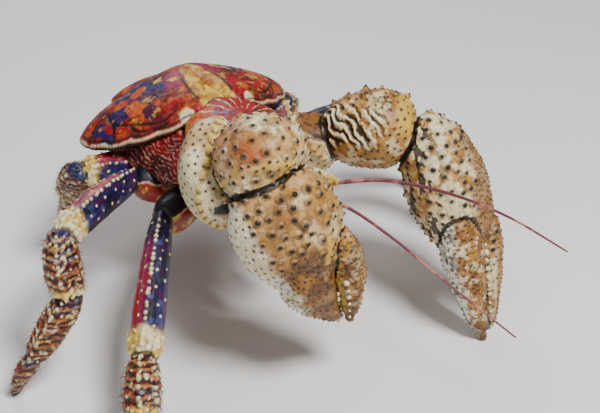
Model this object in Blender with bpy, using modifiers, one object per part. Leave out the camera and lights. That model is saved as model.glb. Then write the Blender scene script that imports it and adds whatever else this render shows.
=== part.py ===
"""A coconut crab, life size, standing on small flats under its feet and one claw.

Metres, +Z up. The crab faces -Y and its left side is +X. The origin is on the floor, at the middle
of its footprint.
"""

import math
import random

import bmesh
import bpy
from mathutils import Matrix, Vector


def mm(x, y, z):
    """A place in the crab's own frame, given in millimetres: x to its left, y backwards, z up."""
    return Vector((x, y, z)) / 1000


# Driving sizes, in metres
GAP = 0.0003  # what two touching nodes keep between them
STANCE_SHIFT = Vector((-0.00455, 0.05662, 0.0))  # brings the middle of the footprint to the origin
# How many segments round each form, and rings along it
LEG_DETAIL = (9, 7)
LEG_BASE_DETAIL = (8, 5)
THORAX_DETAIL, SHIELD_DETAIL, WEDGE_DETAIL, LOBE_DETAIL = (18, 8), (24, 9), (20, 8), (26, 9)
ABDOMEN_DETAIL, TELSON_DETAIL, PLATE_CELLS = (20, 12), (14, 7), (9, 3)
STALK_DETAIL, ANTENNULE_DETAIL, PEDUNCLE_DETAIL, MOUTH_DETAIL = (10, 6), (8, 6), (8, 7), (10, 7)
CLAW_DETAIL = {"base": (9, 5), "merus": (12, 8), "carpus": (12, 8), "palm": (14, 9), "finger": (10, 8)}
FIXED_FINGER_DETAIL = (12, 7)

UP, FLOOR = Vector((0, 0, 1)), Vector((0, 0, 0))
LEFT, RIGHT = 1, -1
DRAW = random.Random(11)
SPINE_SIDES = 4
SPINE_ROOT = 0.0028  # how deep a knob's root is sunk, in metres
STEP = 0.01  # between the places that give a surface's direction
FOOT_SUNK = -2.5  # how far a foot reaches below the floor before its flat is cut, in millimetres

SHELL_COLOUR = (0.55, 0.16, 0.07)
PALE_COLOUR = (0.72, 0.53, 0.27)
CLAW_COLOUR = (0.62, 0.38, 0.16)
LEG_COLOUR = (0.20, 0.10, 0.28)
SOFT_COLOUR = (0.22, 0.04, 0.04)
EYE_COLOUR = (0.02, 0.01, 0.01)
FEELER_COLOUR = (0.35, 0.12, 0.16)


def clear_scene():
    for obj in list(bpy.data.objects):
        bpy.data.objects.remove(obj)


def new_collection(name):
    collection = bpy.data.collections.new(name)
    bpy.context.scene.collection.children.link(collection)
    return collection


def finish(name, colour, roughness):
    """A material with one colour, roughness and no metal."""
    material = bpy.data.materials.new(name)
    material.use_nodes = True
    shader = material.node_tree.nodes["Principled BSDF"]
    shader.inputs["Base Color"].default_value = (*colour, 1)
    shader.inputs["Roughness"].default_value = roughness
    return material


def profile(values, s):
    """A smooth value at s, from 0 to 1, between evenly spaced values."""
    place = min(max(s, 0.0), 1.0) * (len(values) - 1)
    i = min(int(place), len(values) - 2)
    share = place - i
    share = share * share * (3 - 2 * share)
    return values[i] * (1 - share) + values[i + 1] * share


class Limb:
    """A rounded length from start to end. Half widths lie along side, half heights across it."""

    def __init__(self, start, end, widths, heights, side=None, bow=0.0, blunt=0.5):
        self.start, self.end = start, end
        self.length = (end - start).length
        self.along = (end - start).normalized()
        side = side or self.along.cross(UP)
        self.across = (side - self.along * side.dot(self.along)).normalized()
        self.over = self.across.cross(self.along)
        self.widths = [w / 1000 for w in widths]
        self.heights = [h / 1000 for h in heights]
        self.bow, self.blunt = bow / 1000, blunt

    def point(self, t, phi, grow=0.0):
        """The place on the surface at t, from one end to the other, and phi round it, grown outwards."""
        turn = -math.cos(math.pi * t)
        s = 0.5 + 0.5 * turn
        ends = max(math.sin(math.pi * t), 0.0) ** self.blunt
        middle = self.start + self.along * (s * self.length + grow * turn)
        middle += self.over * self.bow * 4 * s * (1 - s)
        half_width = (profile(self.widths, s) + grow) * ends
        half_height = (profile(self.heights, s) + grow) * ends
        middle += self.across * half_width * math.cos(phi)
        return middle + self.over * half_height * math.sin(phi)


class Dome:
    """A crowned plate over a closed plan outline, whose edge lies at edge_height(x, y)."""

    def __init__(self, centre, outline, edge_height, crown, keel, swell=0.75):
        self.centre, self.edge_height = centre, edge_height
        self.crown, self.keel, self.swell = crown / 1000, keel / 1000, swell
        self.spokes = []
        for x, y in outline:
            x, y = x / 1000 - centre[0], y / 1000 - centre[1]
            self.spokes.append((math.atan2(y, x) % math.tau, math.hypot(x, y)))
        self.spokes.sort()

    def reach(self, phi):
        """How far the outline lies from the centre in the direction phi."""
        phi %= math.tau
        spokes = self.spokes
        rounds = [(spokes[-1][0] - math.tau, spokes[-1][1])] + spokes
        rounds.append((spokes[0][0] + math.tau, spokes[0][1]))
        for (before, near), (after, far) in zip(rounds, rounds[1:]):
            if before <= phi <= after:
                share = (phi - before) / max(after - before, 1e-9)
                share = 0.5 * share + 0.5 * share * share * (3 - 2 * share)
                return near * (1 - share) + far * share
        return spokes[0][1]

    def point(self, t, phi, grow=0.0):
        rise = -math.cos(math.pi * t)
        spread = max(math.sin(math.pi * t), 0.0) ** self.swell
        reach = (self.reach(phi) + grow) * spread
        x = self.centre[0] + reach * math.cos(phi)
        y = self.centre[1] + reach * math.sin(phi)
        lift = rise * ((self.crown if rise > 0 else self.keel) + grow)
        return Vector((x, y, self.edge_height(x, y) + lift))


class Patch:
    """A low raised plate on another shape, about (t0, phi0), with its half sizes in t and phi."""

    def __init__(self, base, t0, phi0, half_t, half_phi, high, low=2.0):
        self.base, self.t0, self.phi0, self.half_t, self.half_phi = base, t0, phi0, half_t, half_phi
        self.high, self.low = high / 1000, low / 1000

    def point(self, t, phi, grow=0.0):
        rise = -math.cos(math.pi * t)
        spread = max(math.sin(math.pi * t), 0.0) ** 0.35
        along = self.t0 + self.half_t * spread * math.cos(phi)
        around = self.phi0 + self.half_phi * spread * math.sin(phi)
        return self.base.point(along, around, rise * (self.high if rise > 0 else self.low) + grow)


class Curl:
    """The abdomen: a thick tube that bends down and under along an arc in the plane x = 0."""

    def __init__(self, centre, radius, first_deg, last_deg, widths, depths, blunt=0.5):
        self.centre, self.radius = centre, radius / 1000
        self.first, self.last = math.radians(first_deg), math.radians(last_deg)
        self.widths = [w / 1000 for w in widths]
        self.depths = [d / 1000 for d in depths]
        self.blunt = blunt

    def skin(self, s, phi, ends=1.0, grow=0.0, turn=0.0):
        """The place at s along the arc; phi is 90 degrees on its outer side."""
        angle = self.first + (self.last - self.first) * s
        outwards = Vector((0, math.cos(angle), math.sin(angle)))
        onwards = Vector((0, math.sin(angle), -math.cos(angle)))
        middle = self.centre + outwards * self.radius + onwards * grow * turn
        half_width = (profile(self.widths, s) + grow) * ends
        half_depth = (profile(self.depths, s) + grow) * ends
        side = Vector((1, 0, 0))
        return middle + side * half_width * math.cos(phi) + outwards * half_depth * math.sin(phi)

    def point(self, t, phi, grow=0.0):
        turn = -math.cos(math.pi * t)
        ends = max(math.sin(math.pi * t), 0.0) ** self.blunt
        return self.skin(0.5 + 0.5 * turn, phi, ends, grow, turn)


def add_object(name, mesh_data, collection, material=None):
    obj = bpy.data.objects.new(name, mesh_data)
    collection.objects.link(obj)
    if material:
        mesh_data.materials.append(material)
    return obj


def form(name, shape, collection, material, segments, rings, grow=0.0):
    """A sphere whose points are moved onto the shape, as one closed mesh of triangles."""
    mesh = bmesh.new()
    bmesh.ops.create_uvsphere(mesh, u_segments=segments, v_segments=rings, radius=1)
    for vertex in mesh.verts:
        x, y, z = vertex.co
        t = 1 - math.acos(max(-1.0, min(1.0, z))) / math.pi
        vertex.co = shape.point(t, math.atan2(y, x), grow)
    bmesh.ops.triangulate(mesh, faces=mesh.faces[:])
    bmesh.ops.recalc_face_normals(mesh, faces=mesh.faces[:])
    if mesh.calc_volume(signed=True) < 0:
        bmesh.ops.reverse_faces(mesh, faces=mesh.faces[:])
    data = bpy.data.meshes.new(name)
    mesh.to_mesh(data)
    mesh.free()
    return add_object(name, data, collection, material)


def spine(shape, s, phi_deg, radius, height, collection, lean=0.0, stretch=1.0):
    """A pointed knob on the shape: s from 0 to 1 along it, phi_deg round it, sizes in millimetres.

    It leans towards the far end, and can be stretched along the shape into a short ridge.
    """
    t, phi = math.acos(1 - 2 * s) / math.pi, math.radians(phi_deg)
    here = shape.point(t, phi)
    onwards = (shape.point(t + STEP, phi) - shape.point(t - STEP, phi)).normalized()
    around = shape.point(t, phi + STEP) - shape.point(t, phi - STEP)
    normal = onwards.cross(around).normalized()
    if (shape.point(t, phi, 0.001) - here).dot(normal) < 0:
        normal.negate()
    turns = [math.tau * i / SPINE_SIDES for i in range(SPINE_SIDES)]
    side = normal.cross(onwards)
    radius, height, root = radius / 1000, height / 1000, SPINE_ROOT
    spread = radius * (height + root) / height
    mesh = bmesh.new()
    foot = []
    for turn in turns:
        out = onwards * math.cos(turn) * spread * stretch + side * math.sin(turn) * spread
        foot.append(mesh.verts.new(here - normal * root + out))
    tip = mesh.verts.new(here + normal * height + onwards * lean * height)
    mesh.faces.new(foot)
    for one, two in zip(foot, foot[1:] + foot[:1]):
        mesh.faces.new((one, two, tip))
    bmesh.ops.triangulate(mesh, faces=mesh.faces[:])
    bmesh.ops.recalc_face_normals(mesh, faces=mesh.faces[:])
    data = bpy.data.meshes.new("spine")
    mesh.to_mesh(data)
    mesh.free()
    return add_object("spine", data, collection)


def row(first, last, count, phi_deg, radius, height, sway_deg=7, lean=0.25, stretch=1.0):
    """Evenly spaced knobs along a line at phi_deg, each a little off it and of its own size."""
    knobs = []
    for i in range(count):
        s = first + (last - first) * (i + 0.5 * DRAW.uniform(-0.5, 0.5)) / max(count - 1, 1)
        phi = phi_deg + DRAW.uniform(-sway_deg, sway_deg)
        scale = DRAW.uniform(0.85, 1.2)
        knobs.append((min(max(s, 0.02), 0.98), phi, radius * scale, height * scale, lean, stretch))
    return knobs


def largest_surface(mesh):
    """Removes from the bmesh all but the closed surface that holds the most."""
    left, shells = set(mesh.verts), []
    while left:
        todo, shell = [left.pop()], set()
        while todo:
            vertex = todo.pop()
            shell.add(vertex)
            for edge in vertex.link_edges:
                other = edge.other_vert(vertex)
                if other in left:
                    left.discard(other)
                    todo.append(other)
        shells.append(shell)

    def volume(shell):
        faces = {face for vertex in shell for face in vertex.link_faces}
        total = 0.0
        for face in faces:
            corners = [vertex.co for vertex in face.verts]
            for second, third in zip(corners[1:], corners[2:]):
                total += corners[0].dot(second.cross(third))
        return abs(total)

    shells.sort(key=volume)
    scraps = [vertex for shell in shells[:-1] for vertex in shell]
    bmesh.ops.delete(mesh, geom=scraps, context="VERTS")


def boolean(obj, others, operation, solver="EXACT"):
    """Joins the others to obj, or cuts them from it, and removes them."""
    if not others:
        return obj
    tools = bpy.data.collections.new("tools")
    for other in others:
        tools.objects.link(other)
    modifier = obj.modifiers.new(operation.lower(), "BOOLEAN")
    modifier.operation = operation
    modifier.operand_type = "COLLECTION"
    modifier.collection = tools
    modifier.solver = solver
    bpy.context.view_layer.update()
    graph = bpy.context.evaluated_depsgraph_get()
    result = bpy.data.meshes.new_from_object(obj.evaluated_get(graph))
    obj.modifiers.remove(modifier)
    mesh = bmesh.new()
    mesh.from_mesh(result)
    bmesh.ops.dissolve_degenerate(mesh, dist=1e-7, edges=mesh.edges[:])
    largest_surface(mesh)
    bmesh.ops.triangulate(mesh, faces=mesh.faces[:])
    mesh.to_mesh(result)
    mesh.free()
    old = obj.data
    obj.data = result
    result.materials.clear()
    for slot in old.materials:
        result.materials.append(slot)
    for other in others:
        bpy.data.objects.remove(other)
    bpy.data.collections.remove(tools)
    return obj


def trim(obj, place, normal):
    """Cuts away what lies on the normal's side of a plane, and closes the cut."""
    mesh = bmesh.new()
    mesh.from_mesh(obj.data)
    everything = mesh.verts[:] + mesh.edges[:] + mesh.faces[:]
    cut = bmesh.ops.bisect_plane(
        mesh, geom=everything, plane_co=place, plane_no=normal, clear_outer=True
    )
    rim = [piece for piece in cut["geom_cut"] if isinstance(piece, bmesh.types.BMEdge)]
    bmesh.ops.contextual_create(mesh, geom=rim)
    bmesh.ops.triangulate(mesh, faces=mesh.faces[:])
    mesh.to_mesh(obj.data)
    mesh.free()
    return obj


class Builder:
    """Makes nodes from shapes, keeps each shape by name, and cuts the room of one from another."""

    def __init__(self, collection, helpers):
        self.collection, self.helpers = collection, helpers
        self.shapes, self.sizes = {}, {}

    def node(self, name, shape, material, segments, rings):
        self.shapes[name] = shape
        self.sizes[name] = (segments, rings)
        return form(name, shape, self.collection, material, segments, rings)

    def arm(self, name, knobs, shape=None):
        """Joins knobs to a node's surface, each (s, phi in degrees, radius, height, lean, stretch)."""
        shape = shape or self.shapes[name]
        pieces = []
        for s, phi, radius, height, lean, stretch in knobs:
            pieces.append(spine(shape, s, phi, radius, height, self.helpers, lean, stretch))
        return boolean(bpy.data.objects[name], pieces, "UNION")

    def room(self, name, grow=GAP):
        """A closed mesh a little larger than the node, to cut its neighbours clear of it."""
        segments, rings = self.sizes[name]
        shape = self.shapes[name]
        return form(f"{name}_room", shape, self.helpers, None, segments, rings, grow)

    def clear_of(self, name, *neighbours, grow=GAP):
        obj = bpy.data.objects[name]
        return boolean(obj, [self.room(other, grow) for other in neighbours], "DIFFERENCE")


# The carapace and the body under it

THORAX_LOW, THORAX_HIGH = 0.066, 0.137
SHOULDER_FALL, SHOULDER_POWER = 0.00004, 1.45  # how its top falls towards the sides
THORAX_OUTLINE = [
    (0, -66), (20, -64), (34, -50), (46, -30), (56, 0), (62, 25), (56, 46), (34, 57), (0, 56),
]
SHIELD_OUTLINE = [
    (0, 5), (12, 4), (24, -2), (33, -16), (37, -34), (32, -54), (20, -66), (8, -75), (2.5, -83),
    (0, -87),
]
WEDGE_OUTLINE = [(0, -4), (12, -3), (11, 6), (8, 20), (5, 36), (2.5, 48), (0, 54)]
LOBE_OUTLINE = [
    (14, -9), (28, -5), (45, 3), (60, 14), (74, 28), (82, 44), (80, 62), (64, 76), (37, 77),
    (12, 68), (-2, 58), (-2, 30), (2, 8), (7, -3),
]


def both_sides(half):
    """A plan outline from its half at x >= 0."""
    return half + [(-x, y) for x, y in half if x > 0]


def mirrored(outline, side):
    return [(side * x, y) for x, y in outline]


class Thorax(Dome):
    """The trunk between the legs: widest at its shoulders, under the carapace."""

    SHARES = [0.55, 0.66, 0.78, 0.90, 1.0, 0.98, 0.9]

    def point(self, t, phi, grow=0.0):
        turn = -math.cos(math.pi * t)
        s = 0.5 + 0.5 * turn
        spread = max(math.sin(math.pi * t), 0.0) ** 0.4 * profile(self.SHARES, s)
        reach = (self.reach(phi) + grow) * spread
        x = self.centre[0] + reach * math.cos(phi)
        y = self.centre[1] + reach * math.sin(phi)
        slope = SHOULDER_FALL * (abs(x) * 1000) ** SHOULDER_POWER * s
        return Vector((x, y, THORAX_LOW + (THORAX_HIGH - THORAX_LOW) * s - slope + grow * turn))


# The height of each plate's edge on the midline, and how steeply it falls to the sides
SHIELD_RISE, LOBE_RISE, WEDGE_RISE = (0.1405, 0.20), (0.1465, 0.43), (0.141, 0.10)
BEAK_FROM, BEAK_FALL, BACK_SLOPE = 0.06, 6.0, 0.06  # the shield's beak and its slope to the back
BACK_FROM, BACK_FALL = 0.030, 5.0  # how the lobes and the wedge fall behind
SHIELD_CROWN, WEDGE_CROWN, LOBE_CROWN = (11, 8), (8.5, 8), (13, 9)  # above and below the edge


def shield_edge(x, y):
    """The shield's edge lies highest at the back and slopes down to the beak and the sides."""
    height, slope = SHIELD_RISE
    return height - slope * abs(x) + BACK_SLOPE * y - BEAK_FALL * max(0.0, -y - BEAK_FROM) ** 2


def lobe_edge(x, y):
    """The edge of a side plate falls outwards and, past its widest place, backwards."""
    height, slope = LOBE_RISE
    return height - slope * abs(x) - BACK_FALL * max(0.0, y - BACK_FROM) ** 2


def wedge_edge(x, y):
    height, slope = WEDGE_RISE
    return height - slope * abs(x) - BACK_FALL * max(0.0, y - BACK_FROM) ** 2


# Small plates along each lobe's front and outer margin: phi in degrees, half turn, t and half t
MARGIN_PLATES = [(14, 13, 0.58, 0.060), (-16, 13, 0.58, 0.060), (-47, 14, 0.58, 0.060)]
MARGIN_PLATE_HIGH = 0.9
MARGIN_PLATE_DETAIL = (10, 4)


def margin_plates(build, lobe, side):
    """The raised margin plates of one lobe, mirrored for the right one."""
    plates = []
    for phi_deg, half_deg, t0, half_t in MARGIN_PLATES:
        phi0 = math.radians(phi_deg if side == LEFT else 180 - phi_deg)
        patch = Patch(lobe, t0, phi0, half_t, math.radians(half_deg), MARGIN_PLATE_HIGH)
        plates.append(form("margin_plate", patch, build.helpers, None, *MARGIN_PLATE_DETAIL))
    return plates


def build_carapace(build, shell, pale, soft):
    thorax = Thorax((0, -0.005), both_sides(THORAX_OUTLINE), None, 0, 0)
    build.node("thorax", thorax, soft, *THORAX_DETAIL)
    shield = Dome((0, -0.040), both_sides(SHIELD_OUTLINE), shield_edge, *SHIELD_CROWN)
    build.node("carapace_shield", shield, shell, *SHIELD_DETAIL)
    wedge = Dome((0, 0.018), both_sides(WEDGE_OUTLINE), wedge_edge, *WEDGE_CROWN)
    build.node("carapace_wedge", wedge, pale, *WEDGE_DETAIL)
    for word, side in (("left", LEFT), ("right", RIGHT)):
        outline = mirrored(LOBE_OUTLINE, side)
        lobe = Dome((side * 0.036, 0.026), outline, lobe_edge, *LOBE_CROWN)
        obj = build.node(f"carapace_{word}", lobe, shell, *LOBE_DETAIL)
        boolean(obj, margin_plates(build, lobe, side), "UNION")
    build.clear_of("carapace_shield", "thorax")
    build.clear_of("carapace_wedge", "thorax", "carapace_shield")
    for word, side in (("left", LEFT), ("right", RIGHT)):
        name = f"carapace_{word}"
        trim(bpy.data.objects[name], Vector((side * GAP / 2, 0, 0)), Vector((-side, 0, 0)))
        build.clear_of(name, "thorax", "carapace_shield", "carapace_wedge")


# The abdomen, curled down and under, with its four back plates and the tail

ABDOMEN = Curl(mm(0, 66, 78), 27, 112, -118, [36, 47, 50, 45, 36, 26], [15, 25, 27, 25, 21, 15])
PLATE_SPANS = [(0.235, 0.36, 42), (0.375, 0.53, 62), (0.545, 0.68, 60), (0.695, 0.80, 54)]
TELSON = (mm(0, 61, 44), mm(0, 32, 57), [13, 17, 16, 9], [5, 5.5, 4.5, 3])
PLATE_THICKNESS = 0.0026
PLATE_LIFT = 0.0005  # how far a plate's front edge stands off the skin
PLATE_FLARE = 0.0012  # how much further its hind edge does
PLATE_CORNER = 0.10  # how much its corners are drawn in


def abdomen_plate(build, name, first, last, half_turn_deg, material):
    """A curved plate that lies on the outer side of the abdomen."""
    mesh = bmesh.new()
    bmesh.ops.create_grid(mesh, x_segments=PLATE_CELLS[0], y_segments=PLATE_CELLS[1], size=1)
    for vertex in mesh.verts:
        u, v = vertex.co.x, vertex.co.y
        s = first + (last - first) * (0.5 + 0.5 * v)
        corner = 1 - PLATE_CORNER * abs(v) ** 4
        phi = math.pi / 2 - math.radians(half_turn_deg) * u * corner
        lift = PLATE_LIFT + PLATE_FLARE * (0.5 + 0.5 * v)
        vertex.co = ABDOMEN.skin(s, phi, 1.0, lift)
    bmesh.ops.recalc_face_normals(mesh, faces=mesh.faces[:])
    data = bpy.data.meshes.new(name)
    mesh.to_mesh(data)
    mesh.free()
    obj = add_object(name, data, build.collection, material)
    solidify = obj.modifiers.new("thickness", "SOLIDIFY")
    solidify.thickness = PLATE_THICKNESS
    first_face = data.polygons[0]
    solidify.offset = 1.0 if first_face.normal.dot(first_face.center - ABDOMEN.centre) > 0 else -1.0
    solidify.use_even_offset = True
    return obj


def build_abdomen(build, shell, soft):
    build.node("abdomen", ABDOMEN, soft, *ABDOMEN_DETAIL)
    build.node("telson", Limb(*TELSON), shell, *TELSON_DETAIL)
    lobes = ("carapace_left", "carapace_right", "carapace_wedge")
    build.clear_of("abdomen", "thorax", "telson", *lobes)
    for number, (first, last, half_turn) in enumerate(PLATE_SPANS, start=2):
        abdomen_plate(build, f"abdomen_plate_{number}", first, last, half_turn, shell)


# The head: eyes on stalks, antennules, antennae and the outer mouth legs

PEDUNCLES = {
    "left": (mm(17, -50, 110), mm(33, -105, 119)),
    "right": (mm(-17, -50, 106), mm(-12, -96, 112)),
}
FLAGELLA = {
    "left": [(33, -104, 119), (56, -126, 124), (80, -158, 123), (97, -196, 120), (110, -236, 112)],
    "right": [
        (-12, -96, 112), (4, -105, 117), (24, -122, 114), (43, -152, 98), (60, -190, 78),
        (78, -234, 58),
    ],
}
FLAGELLUM_RADII = (2.0, 0.8)  # at its root and at its tip, in millimetres
PEDUNCLE_GIRTHS = ([6, 6.5, 6, 4.5], [6, 6.5, 6, 4.5])
# Start and end of each small part on the left side, its half widths and its half heights
STALK = ((5, -56, 119), (8, -97, 124), [4, 4.5, 4.5, 4.2], [5, 5.5, 5, 4.6])
CORNEA = ((8, -93, 123.8), (8.6, -102, 125), [4.2, 4.8, 4.2], [4.6, 5.2, 4.6])
ANTENNULE = ((5, -54, 107), (6, -94, 112), [3, 2.8, 2.4, 1.8], [3, 3, 2.6, 1.8])
MOUTH_LEG = ((9, -50, 92), (10, -84, 66), [7, 8, 7, 4], [9, 10, 8, 4])


def on_side(side, table):
    """A limb from a table of the left side, mirrored for the right one."""
    (x0, y0, z0), (x1, y1, z1), widths, heights = table
    return Limb(mm(side * x0, y0, z0), mm(side * x1, y1, z1), widths, heights)


def tube(name, places, thick, thin, collection, material, sides=6, steps=2):
    """A tapering round tube through the places, with closed ends."""
    curve = bpy.data.curves.new(name, "CURVE")
    curve.dimensions = "3D"
    curve.bevel_depth = 0.001
    curve.bevel_resolution = (sides - 4) // 2
    curve.use_fill_caps = True
    curve.resolution_u = steps
    spline = curve.splines.new("BEZIER")
    spline.bezier_points.add(len(places) - 1)
    for i, (knot, place) in enumerate(zip(spline.bezier_points, places)):
        knot.co = mm(*place)
        knot.handle_left_type = knot.handle_right_type = "AUTO"
        knot.radius = thick + (thin - thick) * i / (len(places) - 1)
    carrier = bpy.data.objects.new(name + "_curve", curve)
    collection.objects.link(carrier)
    bpy.context.view_layer.update()
    graph = bpy.context.evaluated_depsgraph_get()
    data = bpy.data.meshes.new_from_object(carrier.evaluated_get(graph))
    mesh = bmesh.new()
    mesh.from_mesh(data)
    bmesh.ops.remove_doubles(mesh, verts=mesh.verts[:], dist=1e-5)
    bmesh.ops.recalc_face_normals(mesh, faces=mesh.faces[:])
    mesh.to_mesh(data)
    mesh.free()
    data.name = name
    data.materials.clear()
    bpy.data.objects.remove(carrier)
    return add_object(name, data, collection, material)


def build_head(build, pale, soft, eye, feeler):
    for word, side in (("left", LEFT), ("right", RIGHT)):
        build.node(f"eyestalk_{word}", on_side(side, STALK), soft, *STALK_DETAIL)
        build.node(f"eye_{word}", on_side(side, CORNEA), eye, *STALK_DETAIL)
        build.clear_of(f"eyestalk_{word}", "thorax", f"eye_{word}", "carapace_shield")
        build.node(f"antennule_{word}", on_side(side, ANTENNULE), feeler, *ANTENNULE_DETAIL)
        peduncle = Limb(*PEDUNCLES[word], *PEDUNCLE_GIRTHS)
        build.node(f"antenna_{word}", peduncle, pale, *PEDUNCLE_DETAIL)
        tube(f"flagellum_{word}", FLAGELLA[word], *FLAGELLUM_RADII, build.collection, feeler)
        build.clear_of(f"flagellum_{word}", f"antenna_{word}")
        build.node(f"maxilliped_{word}", on_side(side, MOUTH_LEG), soft, *MOUTH_DETAIL)
        build.clear_of(f"antennule_{word}", "thorax")
        build.clear_of(f"antenna_{word}", "thorax", "carapace_shield")
        build.clear_of(f"maxilliped_{word}", "thorax")


# The walking legs

# Each leg's joints from its hip to its foot
LEG_PLACES = {
    "leg2_right": [
        (-30, -16, 82), (-67, -42, 90), (-122, -120, 49), (-141, -155, 33), (-171, -203, 20),
        (-180, -236, FOOT_SUNK),
    ],
    "leg3_right": [
        (-34, 0, 84), (-64, 8, 96), (-138, -45, 105), (-143, -62, 70), (-172, -58, 30),
        (-186, -48, FOOT_SUNK),
    ],
    "leg2_left": [
        (30, -12, 82), (60, -22, 88), (144, -30, 92), (164, -54, 78), (174, -80, 38),
        (173, -92, FOOT_SUNK),
    ],
    "leg3_left": [
        (34, 2, 84), (64, 8, 92), (142, 3, 95), (169, 3, 74), (186, 6, 36), (189, 12, FOOT_SUNK),
    ],
    "leg4_right": [(-34, 28, 84), (-92, 34, 98), (-88, 68, 60), (-92, 96, FOOT_SUNK)],
    "leg4_left": [(34, 28, 84), (92, 58, 88), (104, 76, 66), (109, 98, FOOT_SUNK)],
}
# Name, half widths, half heights, bow and bluntness of each length
WALKING_FORMS = [
    ("base", [12, 13, 13, 12], [14, 15, 15, 13.5], 0, 0.40),
    ("merus", [8.5, 9.5, 10, 11, 12], [10.5, 12, 12.5, 13, 13.5], 3, 0.34),
    ("carpus", [9.5, 11, 12, 11.5], [11, 13, 13.5, 12.5], 2, 0.36),
    ("propodus", [9.5, 10.5, 10, 8.5], [10.5, 12, 11, 9.5], 0, 0.36),
    ("dactyl", [7.5, 7, 5.6, 4.0, 2.5], [8.5, 8, 6.2, 4.4, 2.7], 3, 0.38),
]
HIND_FORMS = [
    ("merus", [9, 11, 11.5, 10], [11, 13.5, 13.5, 11.5], 2, 0.36),
    ("carpus", [8.5, 10.5, 10.5, 9], [10.5, 12.5, 12.5, 10.5], 2, 0.38),
    ("hand", [8, 9, 8, 5, 2.6], [9.5, 10.5, 9, 6, 2.8], 0, 0.40),
]
# Knobs on the upper edge of each length and down its front, by length
LEG_KNOBS = {
    "merus": [(0.20, 0.84, 4, 66, 1.9, 2.4), (0.30, 0.88, 3, 112, 1.9, 2.4)],
    "carpus": [(0.42, 0.82, 2, 66, 2.2, 2.8), (0.48, 0.82, 2, 114, 2.2, 2.8)],
    "propodus": [(0.34, 0.80, 3, 70, 1.8, 2.2), (0.38, 0.74, 2, 120, 1.8, 2.2)],
}
GIRTHS = {"leg2": 1.0, "leg3": 0.95, "leg4": 1.0}
SUNK = 6.0  # how far each length starts inside the one before it, in millimetres


def leg_shapes(places, forms, girth):
    """The lengths of one leg: each starts a little inside the one before."""
    places = [mm(*place) for place in places]
    away = places[-2] - places[0]
    side = Vector((away.x, away.y, 0)).cross(UP).normalized()
    shapes = []
    for i, (word, widths, heights, bow, blunt) in enumerate(forms):
        start, end = places[i], places[i + 1]
        along = (end - start).normalized()
        if i > 0:
            start = start - along * SUNK / 1000
        widths = [w * girth for w in widths]
        heights = [h * girth for h in heights]
        shapes.append((word, Limb(start, end, widths, heights, side=side, bow=bow, blunt=blunt)))
    return shapes


def build_legs(build, material):
    for leg, places in LEG_PLACES.items():
        hind = leg.startswith("leg4")
        shapes = leg_shapes(places, HIND_FORMS if hind else WALKING_FORMS, GIRTHS[leg[:4]])
        names = [f"{leg}_{word}" for word, shape in shapes]
        for name, (word, shape) in zip(names, shapes):
            build.node(name, shape, material, *(LEG_BASE_DETAIL if word == "base" else LEG_DETAIL))
        word, order = leg.split("_")[1], int(leg[3])
        before = f"claw_{word}_base" if order == 2 else f"leg{order - 1}_{word}_base"
        build.clear_of(names[0], "thorax", names[1], before)
        for name, (part, shape) in zip(names, shapes):
            if not hind and part in LEG_KNOBS:
                build.arm(name, [knob for line in LEG_KNOBS[part] for knob in row(*line)])
        for name, following in zip(names[1:-1], names[2:]):
            build.clear_of(name, following)
        foot = bpy.data.objects[names[-1]]
        trim(foot, FLOOR, -UP)


# The claws

BLUNT = 0.42  # how full the ends of a claw's lengths are
LEFT_FLAT, RIGHT_FLAT = (0.35, -0.9, -0.3), (-0.2, -1, 0.1)  # how each flat hand is turned
# Start, end, half widths, half heights, the direction of the widths, and the bow of each length
CLAWS = {
    "left": {
        "base": ((22, -30, 84), (46, -48, 104), [13, 14, 15, 14], [15, 16, 17, 16], (1, -0.6, 0), 0),
        "merus": ((43, -49, 97), (50, -54, 140), [14, 18, 20, 20], [14, 19, 22, 23], (1, 0.9, 0), 0),
        "carpus": ((53, -56, 128), (101, -98, 138), [19, 25, 28, 26], [20, 26, 28, 25], (0.7, 0.8, 0), 0),
        "palm": (
            (105, -95, 143), (119, -146, 54), [19, 26, 27, 24, 17], [21, 29, 33, 32, 24], LEFT_FLAT, 2,
        ),
        "fixed": ((133, -136, 78), (121, -172, 3), [15, 13, 10, 7, 4], [15, 13, 10, 8, 4], LEFT_FLAT, 5),
        "finger": (
            (104, -142, 90), (111, -175, FOOT_SUNK), [16, 15, 12, 8, 4.5], [18.5, 17.5, 13, 9, 4.5],
            LEFT_FLAT, -3,
        ),
    },
    "right": {
        "base": ((-22, -32, 84), (-38, -58, 106), [12, 13, 14, 13], [14, 15, 16, 15], (1, 0.6, 0), 0),
        "merus": ((-32, -52, 98), (-47, -88, 155), [14, 20, 25, 26], [18, 27, 36, 40], (1, -0.4, 0), 0),
        "carpus": ((-38, -86, 169), (-21, -129, 151), [22, 28, 31, 28], [19, 26, 29, 28], (1, 0.3, 0), 0),
        "palm": (
            (-40, -124, 156), (-4, -140, 74), [17, 24, 25, 22, 16], [26, 35, 35, 30, 21], RIGHT_FLAT, 0,
        ),
        "fixed": (
            (-27, -145, 100), (7, -147, 44), [18, 17, 13, 8.5, 4], [18, 19, 15, 9, 4], RIGHT_FLAT, -2,
        ),
        "finger": (
            (2, -146, 118), (7.5, -156, 49), [11, 12, 10.5, 8, 4], [9.5, 11.5, 11, 8, 4.2],
            RIGHT_FLAT, 4,
        ),
    },
}
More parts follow.
